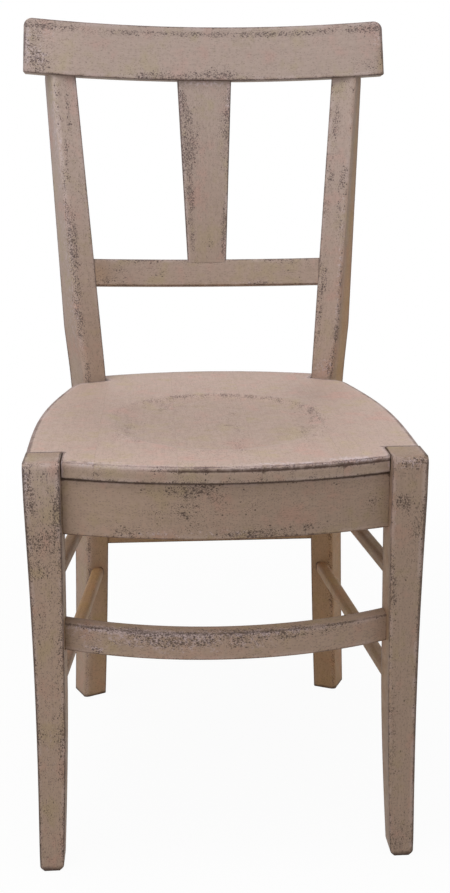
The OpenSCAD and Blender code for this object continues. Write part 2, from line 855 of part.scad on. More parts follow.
module rear_stretcher() {
    color("tan") centred() union() {
        difference() {
            rear_bar(
                rear_stretcher_base, rear_stretcher_height, rear_stretcher_thickness, rear_stretcher_inset
            );
            for (side = [-1, 1]) on_side(side) post_blank();
        }
        rear_stretcher_tenon();
    }
}

module side_stretcher(side, z) {
    color("tan") centred() on_side(side) union() {
        difference() {
            side_stretcher_blank(z);
            leg_blank();
            post_blank();
        }
        side_stretcher_tenon(z);
    }
}

module front_corner_block(side) {
    color("burlywood") centred() on_side(side) corner_block(front_block);
}

module rear_corner_block(side) {
    color("burlywood") centred() on_side(side) corner_block(rear_block);
}

module corner_block_screws() {
    color("dimgray") centred() for (side = [-1, 1]) on_side(side) block_screws();
}

module seat_screws() {
    color("dimgray") centred() for (side = [-1, 1]) on_side(side) seat_fixings();
}

crest_rail();
back_splat();
lower_back_rail();
back_post(-1);  // left_back_post
back_post(1);  // right_back_post
seat_board(0);  // left_outer_seat_board
seat_board(1);  // left_inner_seat_board
seat_board(2);  // middle_seat_board
seat_board(3);  // right_inner_seat_board
seat_board(4);  // right_outer_seat_board
front_apron();
side_apron(-1);  // left_side_apron
side_apron(1);  // right_side_apron
rear_apron();
front_leg(-1);  // left_front_leg
front_leg(1);  // right_front_leg
front_stretcher();
rear_stretcher();
side_stretcher(-1, upper_side_level);  // left_upper_side_stretcher
side_stretcher(-1, lower_side_level);  // left_lower_side_stretcher
side_stretcher(1, upper_side_level);  // right_upper_side_stretcher
side_stretcher(1, lower_side_level);  // right_lower_side_stretcher
front_corner_block(-1);  // left_front_corner_block
front_corner_block(1);  // right_front_corner_block
rear_corner_block(-1);  // left_rear_corner_block
rear_corner_block(1);  // right_rear_corner_block
corner_block_screws();
seat_screws();
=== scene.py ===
"""Painted wooden dining chair: shaped timbers and a rubbed antique paint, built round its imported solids."""

import logging
import math
from collections.abc import Callable, Iterable
from dataclasses import dataclass, field
from enum import Enum, IntEnum

import bmesh
import bpy
from mathutils import Matrix, Vector

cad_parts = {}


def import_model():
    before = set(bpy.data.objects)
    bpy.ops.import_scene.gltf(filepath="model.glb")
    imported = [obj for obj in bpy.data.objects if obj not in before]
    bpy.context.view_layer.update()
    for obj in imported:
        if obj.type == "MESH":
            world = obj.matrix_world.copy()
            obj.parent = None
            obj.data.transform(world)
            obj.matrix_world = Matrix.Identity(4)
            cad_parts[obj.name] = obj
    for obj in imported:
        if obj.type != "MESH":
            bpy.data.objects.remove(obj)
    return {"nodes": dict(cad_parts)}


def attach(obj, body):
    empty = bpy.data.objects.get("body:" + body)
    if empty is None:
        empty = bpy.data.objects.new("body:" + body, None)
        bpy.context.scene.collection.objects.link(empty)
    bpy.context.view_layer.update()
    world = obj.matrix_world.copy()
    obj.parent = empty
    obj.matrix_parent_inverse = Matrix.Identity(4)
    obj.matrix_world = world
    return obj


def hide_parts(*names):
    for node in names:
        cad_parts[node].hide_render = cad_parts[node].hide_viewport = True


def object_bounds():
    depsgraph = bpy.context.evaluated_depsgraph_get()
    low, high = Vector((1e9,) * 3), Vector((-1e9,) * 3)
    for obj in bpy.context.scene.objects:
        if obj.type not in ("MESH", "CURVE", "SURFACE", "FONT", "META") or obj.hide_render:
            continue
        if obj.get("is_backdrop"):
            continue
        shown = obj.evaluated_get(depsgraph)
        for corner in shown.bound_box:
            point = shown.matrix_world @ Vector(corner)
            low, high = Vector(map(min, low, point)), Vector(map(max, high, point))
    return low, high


LOG = logging.getLogger("chair")

# A millimetre in metres, then millimetres: what counts as touching, as far from any edge and as beyond
# the chair, and the step between two cuts along a bar.
MM = 0.001
TOUCH = 0.001
FAR = 99.0
BEYOND = 9 * FAR
STEP = 5.0

# Angle from which an edge between two faces is sharp.
SHARP = math.radians(50.0)

Edge = bmesh.types.BMEdge
Socket = bpy.types.NodeSocket
Outputs = bpy.types.NodeOutputs
Finish = bpy.types.Material
Piece = bpy.types.Object
Row = tuple[float, ...]
Place = Callable[[Vector], Vector]
Measure = Callable[[Vector], float]
EdgeTest = Callable[[Edge], bool]


class Axis(IntEnum):
    """Direction across, through or up a blank."""

    X = 0
    Y = 1
    Z = 2


class Side(IntEnum):
    """Left or right half of the chair, as seen from the front."""

    LEFT = -1
    RIGHT = 1


class Slot(Enum):
    """Names of the material slots for the painted frame and the painted seat."""

    FRAME = "painted_frame"
    SEAT = "painted_seat"


def tint(red: float, green: float, blue: float) -> tuple[float, float, float, float]:
    """Turns a colour of 0 to 255 a channel into the linear colour that a socket holds.

    Args:
        red: Red channel.
        green: Green channel.
        blue: Blue channel.

    Returns:
        Linear red, green, blue and an alpha of 1.
    """
    linear = [
        v / 12.92 if v <= 0.04045 else ((v + 0.055) / 1.055) ** 2.4
        for v in (red / 255, green / 255, blue / 255)
    ]
    return (linear[0], linear[1], linear[2], 1.0)


def fade(value: float, low: float, high: float) -> float:
    """Rises smoothly from 0 at low to 1 at high.

    Args:
        value: Where to read the rise.
        low: Value at which it starts.
        high: Value at which it is complete.

    Returns:
        Share between 0 and 1.
    """
    t = min(1.0, max(0.0, (value - low) / (high - low)))
    return t * t * (3 - 2 * t)


# Sizes that the pieces share, in millimetres, measured from the front legs' front faces.


@dataclass(frozen=True)
class ChairPlan:
    """Levels and spans that more than one piece is built to."""

    middle_y: float = 257.866
    seat_top: float = 455.0
    seat_base: float = 437.0
    apron_base: float = 377.0
    half_frame: float = 203.5
    leg_inner: float = 167.0
    leg_depth: float = 44.0
    leg_centre: float = 185.25
    crest_thickness: float = 22.0

    def to_metres(self, point: Vector) -> Vector:
        """Moves a point from the front legs' faces to the chair's centre, in metres."""
        return Vector((point.x, point.y - self.middle_y, point.z)) * MM


@dataclass(frozen=True)
class PostLine:
    """Course of a right-hand back post, from the floor to the crest rail."""

    spread: float = 158.5
    setback: float = 394.0
    pivot: float = 455.0
    turn: float = math.radians(26.0)
    lean: float = math.radians(1.1)
    rake: float = math.radians(11.8)
    kick: float = 22.0
    bend: float = 440.0
    bend_reach: float = 40.0
    width: float = 28.5
    foot_width: float = 32.0
    flare: float = 5.0
    flare_top: float = 520.0
    foot_depth: float = 36.0
    bend_depth: float = 54.0
    top_depth: float = 25.0
    top: float = 838.0

    def front(self, z: float) -> float:
        """Gives how far back the post's front edge has run.

        Args:
            z: Height along the post.

        Returns:
            Distance behind the bend's front edge, along the post's own depth.
        """
        slope = math.tan(self.rake) / math.cos(self.turn)
        low = self.kick * (max(0.0, self.bend - z) / self.bend) ** 2
        h = z - self.bend
        if h >= self.bend_reach:
            return low + slope * h
        if h <= -self.bend_reach:
            return low
        return low + slope * (h + self.bend_reach) ** 2 / (4 * self.bend_reach)

    def depth(self, z: float) -> float:
        """Gives the post's depth at a height.

        Args:
            z: Height along the post.

        Returns:
            Depth from its front edge to its rear.
        """
        if z < self.bend:
            return self.foot_depth + (self.bend_depth - self.foot_depth) * z / self.bend
        share = (z - self.bend) / (self.top - self.bend)
        return self.bend_depth + (self.top_depth - self.bend_depth) * share

    def widening(self, z: float) -> float:
        """Gives how much wider the post is than at the bend, above it."""
        return self.flare * min(1.0, max(0.0, (z - self.bend) / (self.flare_top - self.bend)))

    def splay(self, z: float) -> float:
        """Gives how much wider the post is than at the bend, below it."""
        return (self.foot_width - self.width) * max(0.0, self.bend - z) / self.bend

    def place(self, x: float, y: float, z: float) -> Vector:
        """Turns and leans a point of the straight post into the chair.

        Args:
            x: Across the post's front face, from its outer arris.
            y: Through the post.
            z: Height along the post.

        Returns:
            The point in the chair, on its right-hand side.
        """
        turned = Matrix.Rotation(-self.turn, 3, "Z") @ Vector((x, y, z - self.pivot))
        leaned = Matrix.Rotation(-self.lean, 3, "Y") @ turned
        return leaned + Vector((self.spread, self.setback, self.pivot))

    def edge(self, z: float) -> Vector:
        """Gives the post's outer front arris at a height."""
        return self.place(self.widening(z), self.front(z), z)

    def face(self, z: float, across: float) -> Vector:
        """Gives a point on the post's front face, across from its outer arris."""
        return self.place(self.widening(z) - across, self.front(z), z)


@dataclass(frozen=True)
class BackPlane:
    """The raked plane in which the crest rail, the splat and the lower rail are laid out."""

    rake: float = math.radians(11.8)
    origin_y: float = 500.701
    origin_z: float = 838.0
    bow: float = 720.0

    def place(self, x: float, y: float, z: float) -> Vector:
        """Rakes a point of the upright back into the chair.

        Args:
            x: Across the chair.
            y: Behind the crest rail's face.
            z: Above the crest rail's lower edge.

        Returns:
            The point in the chair.
        """
        s, c = math.sin(self.rake), math.cos(self.rake)
        return Vector((x, self.origin_y + c * y + s * z, self.origin_z - s * y + c * z))

    def upright(self, point: Vector) -> Vector:
        """Lays a point of the raked back upright.

        Args:
            point: The point in the chair.

        Returns:
            Where it lies in the upright back.
        """
        s, c = math.sin(self.rake), math.cos(self.rake)
        y, z = point.y - self.origin_y, point.z - self.origin_z
        return Vector((point.x, c * y - s * z, s * y + c * z))

    def hollow(self, x: float, y: float) -> float:
        """Gives the depth of a point of a bar whose front face is hollow."""
        return math.sqrt((self.bow + y) ** 2 - x * x) - self.bow


PLAN = ChairPlan()
POST = PostLine()
BACK = BackPlane()


def bulge(x: float, y: float, inset: float, bow: float) -> float:
    """Curves a bar between the front legs forward.

    Args:
        x: Across the chair.
        y: Depth in the straight bar, from its front face.
        inset: How far the face lies back where it meets the legs.
        bow: How far the face curves forward.

    Returns:
        Distance behind the front legs' faces.
    """
    radius = (PLAN.leg_inner**2 + bow * bow) / (2 * bow)
    return inset - bow + radius - math.sqrt((radius - y) ** 2 - x * x)


# Worn paint, painted shade and painted light on the timbers.


@dataclass(frozen=True)
class Cloud:
    """A patch of the blank where the dark flecks gather."""

    centre: tuple[float, float, float]
    reach: tuple[float, float, float]
    strength: float

    def at(self, point: Vector) -> float:
        """Gives how thickly the flecks lie at a point of the blank."""
        square = sum(((point[i] - self.centre[i]) / self.reach[i]) ** 2 for i in range(3))
        return self.strength * math.exp(-square)


@dataclass(frozen=True)
class Ring:
    """A ring on a level face where the dark flecks gather, thickest towards one side."""

    centre: tuple[float, float]
    radius: float
    width: float
    strength: float
    towards: float
    spread: float

    def at(self, point: Vector) -> float:
        """Gives how thickly the flecks lie at a point of the face.

        Args:
            point: The point.

        Returns:
            Up to the ring's strength.
        """
        x, y = point.x - self.centre[0], point.y - self.centre[1]
        off = (math.hypot(x, y) - self.radius) / self.width
        turn = abs((math.degrees(math.atan2(y, x)) - self.towards + 180.0) % 360.0 - 180.0)
        return self.strength * math.exp(-off * off - (turn / self.spread) ** 2)


@dataclass(frozen=True)
class Wear:
    """How a piece has aged, and where shade and light are painted on it, read in its blank's own place."""

    clouds: tuple[Cloud | Ring, ...] = ()
    ground: float = 0.08
    rub: float = 1.0
    # The next two kinds of cloud are painted shade, and painted light where their strength is below 0.
    browned: tuple[Cloud, ...] = ()
    dulled: tuple[Cloud, ...] = ()
    bared: tuple[Cloud, ...] = ()

    def cloud(self, point: Vector) -> float:
        """Gives how thickly the flecks lie at a point, between 0 and 1."""
        return min(1.0, self.ground + sum(c.at(point) for c in self.clouds))

    def brown(self, point: Vector) -> float:
        """Gives how far the paint moves towards its darker, browner colours at a point, as painted shade;
        below 0 it moves lighter, as painted light.
        """
        return sum(c.at(point) for c in self.browned)

    def dull(self, point: Vector) -> float:
        """Gives the share by which the paint is darker at a point, as painted shade; below 0 it is lighter,
        as painted light.
        """
        return sum(c.at(point) for c in self.dulled)

    def bare(self, point: Vector) -> float:
        """Gives how far the paint is rubbed through to its pale ground at a point."""
        return min(1.0, sum(c.at(point) for c in self.bared))


def patches(*rows: Row) -> tuple[Cloud, ...]:
    """Makes clouds from rows of numbers.

    Args:
        *rows: Centre, reach and strength of each cloud, as seven numbers.

    Returns:
        The clouds.
    """
    return tuple(Cloud(row[:3], row[3:6], row[6]) for row in rows)


class Timber:
    """A blank that is softened, divided and shaped into one piece of the chair, in millimetres."""

    def __init__(
        self,
        name: str,
        low: Iterable[float],
        high: Iterable[float],
        grain: Axis,
        mesh: bmesh.types.BMesh | None = None,
    ) -> None:
        """Saws the blank.

        Args:
            name: Name of the finished piece.
            low: Lowest corner of the blank.
            high: Highest corner of the blank.
            grain: Axis along which the grain runs.
            mesh: The blank's mesh, or None for a squared blank.
        """
        self.name = name
        self.low = Vector(low)
        self.high = Vector(high)
        self.grain = grain
        if mesh is None:
            mesh = bmesh.new()
            middle = (self.high + self.low) / 2
            blank = Matrix.Translation(middle) @ Matrix.Diagonal((*(self.high - self.low), 1.0))
            bmesh.ops.create_cube(mesh, size=1.0, matrix=blank)
        self.mesh = mesh
        self.add_layers()

    def add_layers(self) -> None:
        """Adds the values that the finishes read, one for each vertex."""
        floats = self.mesh.verts.layers.float
        # Several of these values carry painted light and shade: where the paint lies between its lit and
        # shaded copies, how much darker or lighter it is painted, and how strong the dark arris lines are.
        for name in ("arris", "joint", "cloud", "rub", "tone", "dull", "bare"):
            if floats.get(name) is None:
                floats.new(name)
        vectors = self.mesh.verts.layers.float_vector
        if vectors.get("place") is None:
            vectors.new("place")

    def runs(self, axis: Axis, **at: float) -> EdgeTest:
        """Picks the edges that run along an axis.

        Args:
            axis: The axis.
            **at: Values of x, y or z at which both ends lie.

        Returns:
            A test for an edge.
        """
        fixed = {"xyz".index(key): value for key, value in at.items()}

        def test(edge: Edge) -> bool:
            """Tells whether the edge runs so.

            Args:
                edge: The edge.

            Returns:
                Whether it runs along the axis, at the values given.
            """
            a, b = (v.co for v in edge.verts)
            others = [i for i in range(3) if i != axis]
            if any(abs(a[i] - b[i]) > TOUCH for i in others):
                return False
            return all(abs(a[i] - v) < TOUCH and abs(b[i] - v) < TOUCH for i, v in fixed.items())

        return test

    def soften(self, radius: float, test: EdgeTest, segments: int = 3) -> None:
        """Rounds the edges that pass a test.

        Args:
            radius: Radius of the rounding.
            test: Which edges are rounded.
            segments: Steps round the edge.
        """
        edges = [edge for edge in self.mesh.edges if test(edge)]
        bmesh.ops.bevel(
            self.mesh,
            geom=edges,
            offset=radius,
            offset_type="OFFSET",
            segments=segments,
            profile=0.5,
            affect="EDGES",
            material=-1,
            clamp_overlap=True,
        )

    def divide(self, axis: Axis, step: float, low: float | None = None, high: float | None = None) -> None:
        """Divides the faces by even cuts across an axis.

        Args:
            axis: Axis that the cuts lie across.
            step: Widest distance between two cuts.
            low: Where the cuts start, or the blank's lowest side.
            high: Where they end, or the blank's highest side.
        """
        start = self.low[axis] if low is None else low
        end = self.high[axis] if high is None else high
        count = max(1, math.ceil((end - start) / step))
        for i in range(count + 1):
            self.cut(axis, start + (end - start) * i / count)

    def cut(self, axis: Axis, *values: float) -> None:
        """Divides the faces along planes across an axis.

        Args:
            axis: The axis.
            *values: Where the planes lie on it.
        """
        normal = Vector((0, 0, 0))
        normal[axis] = 1.0
        for value in values:
            self.slice(normal * value, normal)

    def slice(self, point: Vector, normal: Vector, clear: bool = False) -> list[Edge]:
        """Cuts the piece along a plane.

        Args:
            point: A point of the plane.
            normal: The plane's direction.
            clear: Whether what lies beyond the plane is taken away.

        Returns:
            The edges along the cut.
        """
        work = self.mesh.verts[:] + self.mesh.edges[:] + self.mesh.faces[:]
        cut = bmesh.ops.bisect_plane(
            self.mesh, geom=work, dist=TOUCH, plane_co=point, plane_no=normal, clear_outer=clear
        )
        return [item for item in cut["geom_cut"] if isinstance(item, Edge)]

    def mark(
        self, wear: Wear, shift: float, arris: Measure | None = None, joint: Measure | None = None
    ) -> None:
        """Writes the values that the finishes read, while the piece is still straight.

        Args:
            wear: How the piece has aged, and where shade and light are painted on it.
            shift: Distance by which the grain is moved, so that no two pieces match.
            arris: Distance to the nearest arris, or None for the blank's own arrises.
            joint: Distance to the nearest joint, or None where there is none.
        """
        layers = self.mesh.verts.layers
        place = layers.float_vector["place"]
        turn = {Axis.X: (0, 1, 2), Axis.Y: (1, 2, 0), Axis.Z: (2, 0, 1)}[self.grain]
        for vert in self.mesh.verts:
            co = vert.co
            vert[place] = Vector((co[turn[0]] + shift, co[turn[1]] + shift / 3, co[turn[2]])) * MM
            vert[layers.float["arris"]] = arris(co) if arris else self.to_arris(co)
            vert[layers.float["joint"]] = joint(co) if joint else FAR
            vert[layers.float["cloud"]] = wear.cloud(co)
            vert[layers.float["rub"]] = wear.rub
            vert[layers.float["tone"]] = wear.brown(co)
            vert[layers.float["dull"]] = wear.dull(co)
            vert[layers.float["bare"]] = wear.bare(co)

    def to_arris(self, co: Vector) -> float:
        """Gives the distance from a point of the blank's surface to its nearest long arris.

        Args:
            co: The point.

        Returns:
            The distance, measured over the face.
        """
        gaps = []
        for axis in Axis:
            if axis != self.grain:
                gaps.append(abs(co[axis] - self.low[axis]))
                gaps.append(abs(self.high[axis] - co[axis]))
        return sorted(gaps)[1]

    def shape(self, place: Place, tone: Measure) -> None:
        """Moves every vertex from the blank to the chair.

        Args:
            place: Where a point of the blank goes, in millimetres.
            tone: How far the paint moves from its upper colour towards its darker, shaded colour at a point
                of the chair, from 0 to 1, as painted shade.
        """
        layer = self.mesh.verts.layers.float["tone"]
        for vert in self.mesh.verts:
            vert.co = place(vert.co)
            vert[layer] = min(1.0, vert[layer] + tone(vert.co))

    def mirror(self) -> None:
        """Turns a right-hand piece into a left-hand one."""
        for vert in self.mesh.verts:
            vert.co.x = -vert.co.x

    def finish(self, material: Finish, slot: Slot, *nodes: str) -> Piece:
        """Makes the piece an object that rides on the chair and stands for its solids.

        Args:
            material: Its finish.
            slot: The material slot; not used.
            *nodes: Solids that it stands for.

        Returns:
            The finished object.
        """
        bmesh.ops.remove_doubles(self.mesh, verts=self.mesh.verts, dist=TOUCH)
        for vert in self.mesh.verts:
            vert.co = PLAN.to_metres(vert.co)
        bmesh.ops.recalc_face_normals(self.mesh, faces=self.mesh.faces)
        for face in self.mesh.faces:
            face.smooth = True
        for edge in self.mesh.edges:
            edge.smooth = len(edge.link_faces) != 2 or edge.calc_face_angle() < SHARP
        data = bpy.data.meshes.new(self.name)
        self.mesh.to_mesh(data)
        self.mesh.free()
        data.materials.append(material)
        piece = bpy.data.objects.new(self.name, data)
        bpy.context.scene.collection.objects.link(piece)
        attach(piece, "root")
        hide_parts(*nodes)
        LOG.info("%s: %d faces", self.name, len(data.polygons))
        return piece


# Finishes.


@dataclass
class Board:
    """Lays out the nodes of one material or group."""

    tree: bpy.types.NodeTree

    def add(self, kind: str, values: dict[str, object] | None = None, **settings: object) -> bpy.types.Node:
        """Adds a node.

        Args:
            kind: Name of the node's type.
            values: Input sockets by name, each with a value or a socket to link.
            **settings: Properties of the node.

        Returns:
            The node.
        """
        node = self.tree.nodes.new(kind)
        for key, value in settings.items():
            setattr(node, key, value)
        for key, value in (values or {}).items():
            self.feed(node.inputs[key], value)
        return node

    def feed(self, socket: Socket, value: object) -> None:
        """Links a socket to another, or sets its value.

        Args:
            socket: The input.
            value: What it takes, a value or an output.
        """
        if isinstance(value, Socket):
            self.tree.links.new(value, socket)
        else:
            socket.default_value = value

    def math(self, operation: str, *values: object, clamp: bool = False) -> Socket:
        """Works out a number.

        Args:
            operation: The Math node's operation.
            *values: Its inputs.
            clamp: Whether the result is kept between 0 and 1.

        Returns:
            The result's socket.
        """
        node = self.add("ShaderNodeMath", operation=operation, use_clamp=clamp)
        for socket, value in zip(node.inputs, values):
            self.feed(socket, value)
        return node.outputs[0]

    def times(self, first: object, second: object, clamp: bool = False) -> Socket:
        """Multiplies two values, and keeps the product between 0 and 1 if clamp is set."""
        return self.math("MULTIPLY", first, second, clamp=clamp)

    def mix(self, share: object, under: object, over: object, blend: str = "MIX") -> Socket:
        """Lays one colour over another.

        Args:
            share: How much of the upper colour shows.
            under: Lower colour.
            over: Upper colour.
            blend: How the two are mixed.

        Returns:
            The mixed colour's socket.
        """
        node = self.add("ShaderNodeMix", data_type="RGBA", blend_type=blend)
        self.feed(node.inputs[0], share)
        self.feed(node.inputs[6], under)
        self.feed(node.inputs[7], over)
        return node.outputs[2]

    def ramp(
        self, value: object, low: object, high: object, start: float = 0.0, end: float = 1.0
    ) -> Socket:
        """Turns a range of numbers into another with soft ends.

        Args:
            value: The number.
            low: Where the range starts.
            high: Where it ends.
            start: Result at its start.
            end: Result at its end.

        Returns:
            The result's socket.
        """
        values = {"Value": value, "From Min": low, "From Max": high, "To Min": start, "To Max": end}
        return self.add("ShaderNodeMapRange", values, interpolation_type="SMOOTHSTEP").outputs["Result"]

    def noise(self, vector: object, scale: object, detail: float, rough: float) -> Socket:
        """Adds a noise texture.

        Args:
            vector: Where it is read.
            scale: How fine it is.
            detail: How many finer layers it has.
            rough: How strong these are.

        Returns:
            The noise's socket.
        """
        values = {"Vector": vector, "Scale": scale, "Detail": detail, "Roughness": rough}
        return self.add("ShaderNodeTexNoise", values).outputs[0]

    def stretch(self, vector: object, along: object) -> Socket:
        """Draws a pattern's place out along the grain.

        Args:
            vector: The place.
            along: Scale along the grain, below 1 for a longer pattern.

        Returns:
            The stretched place's socket.
        """
        scale = self.add("ShaderNodeCombineXYZ", {"X": along, "Y": 1.0, "Z": 1.0}).outputs[0]
        return self.add("ShaderNodeVectorMath", {0: vector, 1: scale}, operation="MULTIPLY").outputs[0]

    def shade(self, colour: object, level: object) -> Socket:
        """Makes a colour lighter or darker by a level around 1."""
        grey = self.add("ShaderNodeCombineXYZ", {"X": level, "Y": level, "Z": level})
        return self.mix(1.0, colour, grey.outputs[0], "MULTIPLY")

    def uneven(self, ragged: object, amount: float, value: object) -> Socket:
        """Shifts a number up and down by a noise around 0.5."""
        return self.math("MULTIPLY_ADD", self.math("SUBTRACT", ragged, 0.5), amount, value)

    def bump(
        self, surface: bpy.types.Node, height: object, strength: float = 0.3, distance: float = 0.0004
    ) -> None:
        """Gives a surface a fine relief.

        Args:
            surface: The surface's node.
            height: The relief.
            strength: How strongly it shows.
            distance: How deep it is, in metres.
        """
        bump = self.add("ShaderNodeBump", {"Strength": strength, "Distance": distance, "Height": height})
        self.feed(surface.inputs["Normal"], bump.outputs[0])

    def attribute(self, name: str, output: str = "Fac") -> Socket:
        """Reads one of the piece's own values."""
        return self.add("ShaderNodeAttribute", attribute_name=name).outputs[output]


class Effect:
    """A shader node group that more than one finish uses, built once."""

    title = ""
    inputs: tuple[tuple[str, str, object], ...] = ()
    outputs: tuple[tuple[str, str], ...] = ()

    def group(self) -> bpy.types.NodeTree:
        """Gives the group, and builds it the first time.

        Returns:
            The node group.
        """
        found = bpy.data.node_groups.get(self.title)
        if found:
            return found
        tree = bpy.data.node_groups.new(self.title, "ShaderNodeTree")
        for name, kind, value in self.inputs:
            socket = tree.interface.new_socket(name, in_out="INPUT", socket_type="NodeSocket" + kind)
            if value is not None:
                socket.default_value = value
        for name, kind in self.outputs:
            tree.interface.new_socket(name, in_out="OUTPUT", socket_type="NodeSocket" + kind)
        board = Board(tree)
        entry = board.add("NodeGroupInput")
        end = board.add("NodeGroupOutput")
        for name, socket in self.build(board, entry.outputs).items():
            board.feed(end.inputs[name], socket)
        return tree

    def build(self, board: Board, given: Outputs) -> dict[str, Socket]:
        """Lays out the group's nodes.

        Args:
            board: Where they go.
            given: The group's inputs.

        Returns:
            A socket for each output.
        """
        raise NotImplementedError

    def use(self, board: Board, **values: object) -> Outputs:
        """Places the group in a material.

        Args:
            board: The material's board.
            **values: Inputs by name, with underscores for spaces.

        Returns:
            The group's outputs.
        """
        node = board.add("ShaderNodeGroup", node_tree=self.group())
        for key, value in values.items():
            board.feed(node.inputs[key.replace("_", " ")], value)
        return node.outputs


class GrainStreaks(Effect):
    """Fine streaks that follow the grain under the paint."""

    title = "grain streaks"
    inputs = (("Place", "Vector", None), ("Fineness", "Float", 400.0), ("Length", "Float", 0.06))
    outputs = (("Streak", "Float"),)

    def build(self, board: Board, given: Outputs) -> dict[str, Socket]:
        """Stretches a noise along the grain.

        Args:
            board: Where the nodes go.
            given: The group's inputs.

        Returns:
            The streaks' mask.
        """
        drawn = board.stretch(given["Place"], given["Length"])
        return {"Streak": board.noise(drawn, given["Fineness"], 3.0, 0.6)}


class PaintMottling(Effect):
    """Soft pink and olive patches, and a fine unevenness, in a coat of paint."""

    title = "paint mottling"
    inputs = (
        ("Place", "Vector", None),
        ("Paint", "Color", (0.4, 0.3, 0.26, 1)),
        ("Pink", "Color", (0.4, 0.3, 0.26, 1)),
        ("Olive", "Color", (0.4, 0.3, 0.26, 1)),
        ("Amount", "Float", 0.3),
    )
    outputs = (("Color", "Color"),)

    def build(self, board: Board, given: Outputs) -> dict[str, Socket]:
        """Lays two colours over the paint in patches of two sizes.

        Args:
            board: Where the nodes go.
            given: The group's inputs.

        Returns:
            The mottled paint.
        """
        wide = board.noise(given["Place"], 22.0, 2.0, 0.55)
        close = board.noise(given["Place"], 95.0, 3.0, 0.6)
        both = board.math("ADD", wide, board.times(close, 0.5))
        pinkness = board.ramp(both, 0.76, 1.02)
        oliveness = board.ramp(both, 0.74, 0.5)
        paint = board.mix(board.times(pinkness, given["Amount"]), given["Paint"], given["Pink"])
        paint = board.mix(board.times(oliveness, given["Amount"]), paint, given["Olive"])
        fine = board.noise(given["Place"], 190.0, 3.0, 0.75)
        return {"Color": board.shade(paint, board.ramp(fine, 0.3, 0.7, 0.945, 1.05))}


class PaintStipple(Effect):
    """Uneven specks where the dark glaze shows, from lone ones to a close cover."""

    title = "paint stipple"
    inputs = (
        ("Place", "Vector", None),
        ("Density", "Float", 0.1),
        ("Fineness", "Float", 400.0),
        ("Stretch", "Float", 0.6),
    )
    outputs = (("Fleck", "Float"),)

    def build(self, board: Board, given: Outputs) -> dict[str, Socket]:
        """Keeps some cells of a cell pattern, more of them where the specks are dense, with ragged edges.

        Args:
            board: Where the nodes go.
            given: The group's inputs.

        Returns:
            The specks' mask.
        """
        drawn = board.stretch(given["Place"], given["Stretch"])
        cells = board.add("ShaderNodeTexVoronoi", {"Vector": drawn, "Scale": given["Fineness"]})
        chance = board.add("ShaderNodeSeparateColor", {"Color": cells.outputs["Color"]})
        kept = board.math("LESS_THAN", chance.outputs[0], given["Density"])
        least = board.math("MULTIPLY_ADD", given["Density"], 0.12, 0.19)
        radius = board.math("MULTIPLY_ADD", chance.outputs[1], 0.22, least)
        ragged = board.noise(drawn, board.times(given["Fineness"], 1.9), 1.0, 0.5)
        reach = board.uneven(ragged, 0.55, cells.outputs["Distance"])
        inner, outer = board.math("SUBTRACT", radius, 0.07), board.math("ADD", radius, 0.05)
        speck = board.ramp(reach, inner, outer, 1.0, 0.0)
        return {"Fleck": board.times(kept, speck)}


class HairStrokes(Effect):
    """Short curled dark strokes that link the flecks where the paint is most worn."""

    title = "hair strokes"
    inputs = (("Place", "Vector", None), ("Density", "Float", 0.1), ("Fineness", "Float", 130.0))
    outputs = (("Stroke", "Float"),)

    def build(self, board: Board, given: Outputs) -> dict[str, Socket]:
        """Draws the level lines of a noise, broken by a second one.

        Args:
            board: Where the nodes go.
            given: The group's inputs.

        Returns:
            The strokes' mask.
        """
        level = board.noise(given["Place"], given["Fineness"], 1.0, 0.5)
        off = board.math("ABSOLUTE", board.math("SUBTRACT", level, 0.5))
        line = board.ramp(off, 0.008, 0.03, 1.0, 0.0)
        gaps = board.noise(given["Place"], 210.0, 1.0, 0.5)
        whole = board.ramp(board.math("ADD", gaps, board.times(given["Density"], 0.35)), 0.66, 0.78)
        shown = board.times(whole, board.ramp(given["Density"], 0.1, 0.6))
        return {"Stroke": board.times(line, shown)}


class RubbedArris(Effect):
    """A broken dark line along the arrises, worn and also painted shade where the rounded arris turns from
    the light, and a pale rubbed band beside it that is also a painted highlight.
    """

    title = "rubbed arris"
    inputs = (
        ("Place", "Vector", None),
        ("Distance", "Float", 50.0),
        ("Rub", "Float", 1.0),
        ("Width", "Float", 2.0),
    )
    outputs = (("Dark", "Float"), ("Pale", "Float"), ("Near", "Float"))

    def build(self, board: Board, given: Outputs) -> dict[str, Socket]:
        """Breaks bands along the arrises with noise.

        Args:
            board: Where the nodes go.
            given: The group's inputs.

        Returns:
            The dark line, partly painted shade, the pale band, partly a painted highlight, and the zone where
            flecks gather.
        """
        broken = board.noise(given["Place"], 34.0, 2.0, 0.6)
        edge = board.uneven(board.noise(given["Place"], 240.0, 2.0, 0.6), 2.4, given["Distance"])
        line = board.ramp(edge, board.times(given["Width"], 0.4), given["Width"], 1.0, 0.0)
        worn = board.ramp(broken, 0.36, 0.6, 0.55, 1.0)
        dark = board.times(board.times(line, worn), given["Rub"], clamp=True)
        band = board.ramp(edge, given["Width"], board.times(given["Width"], 3.0), 1.0, 0.0)
        pale = board.times(band, board.ramp(broken, 0.56, 0.4))
        near = board.times(board.ramp(given["Distance"], 0.5, 4.5, 1.0, 0.0), worn)
        return {
            "Dark": dark,
            "Pale": board.times(pale, given["Rub"], clamp=True),
            "Near": board.times(near, given["Rub"], clamp=True),
        }


class BaredGround(Effect):
    """Broken patches where the paint is rubbed through to its pale lilac ground."""

    title = "bared ground"
    inputs = (("Place", "Vector", None), ("Amount", "Float", 0.0))
    outputs = (("Bare", "Float"),)

    def build(self, board: Board, given: Outputs) -> dict[str, Socket]:
        """Lets a ragged noise through, more of it where more is rubbed away.

        Args:
            board: Where the nodes go.
            given: The group's inputs.

        Returns:
            The patches' mask.
        """
        ragged = board.noise(given["Place"], 260.0, 3.0, 0.65)
        shown = board.ramp(board.math("MULTIPLY_ADD", given["Amount"], 0.45, ragged), 0.6, 0.85)
        return {"Bare": board.times(shown, board.ramp(given["Amount"], 0.03, 0.2))}


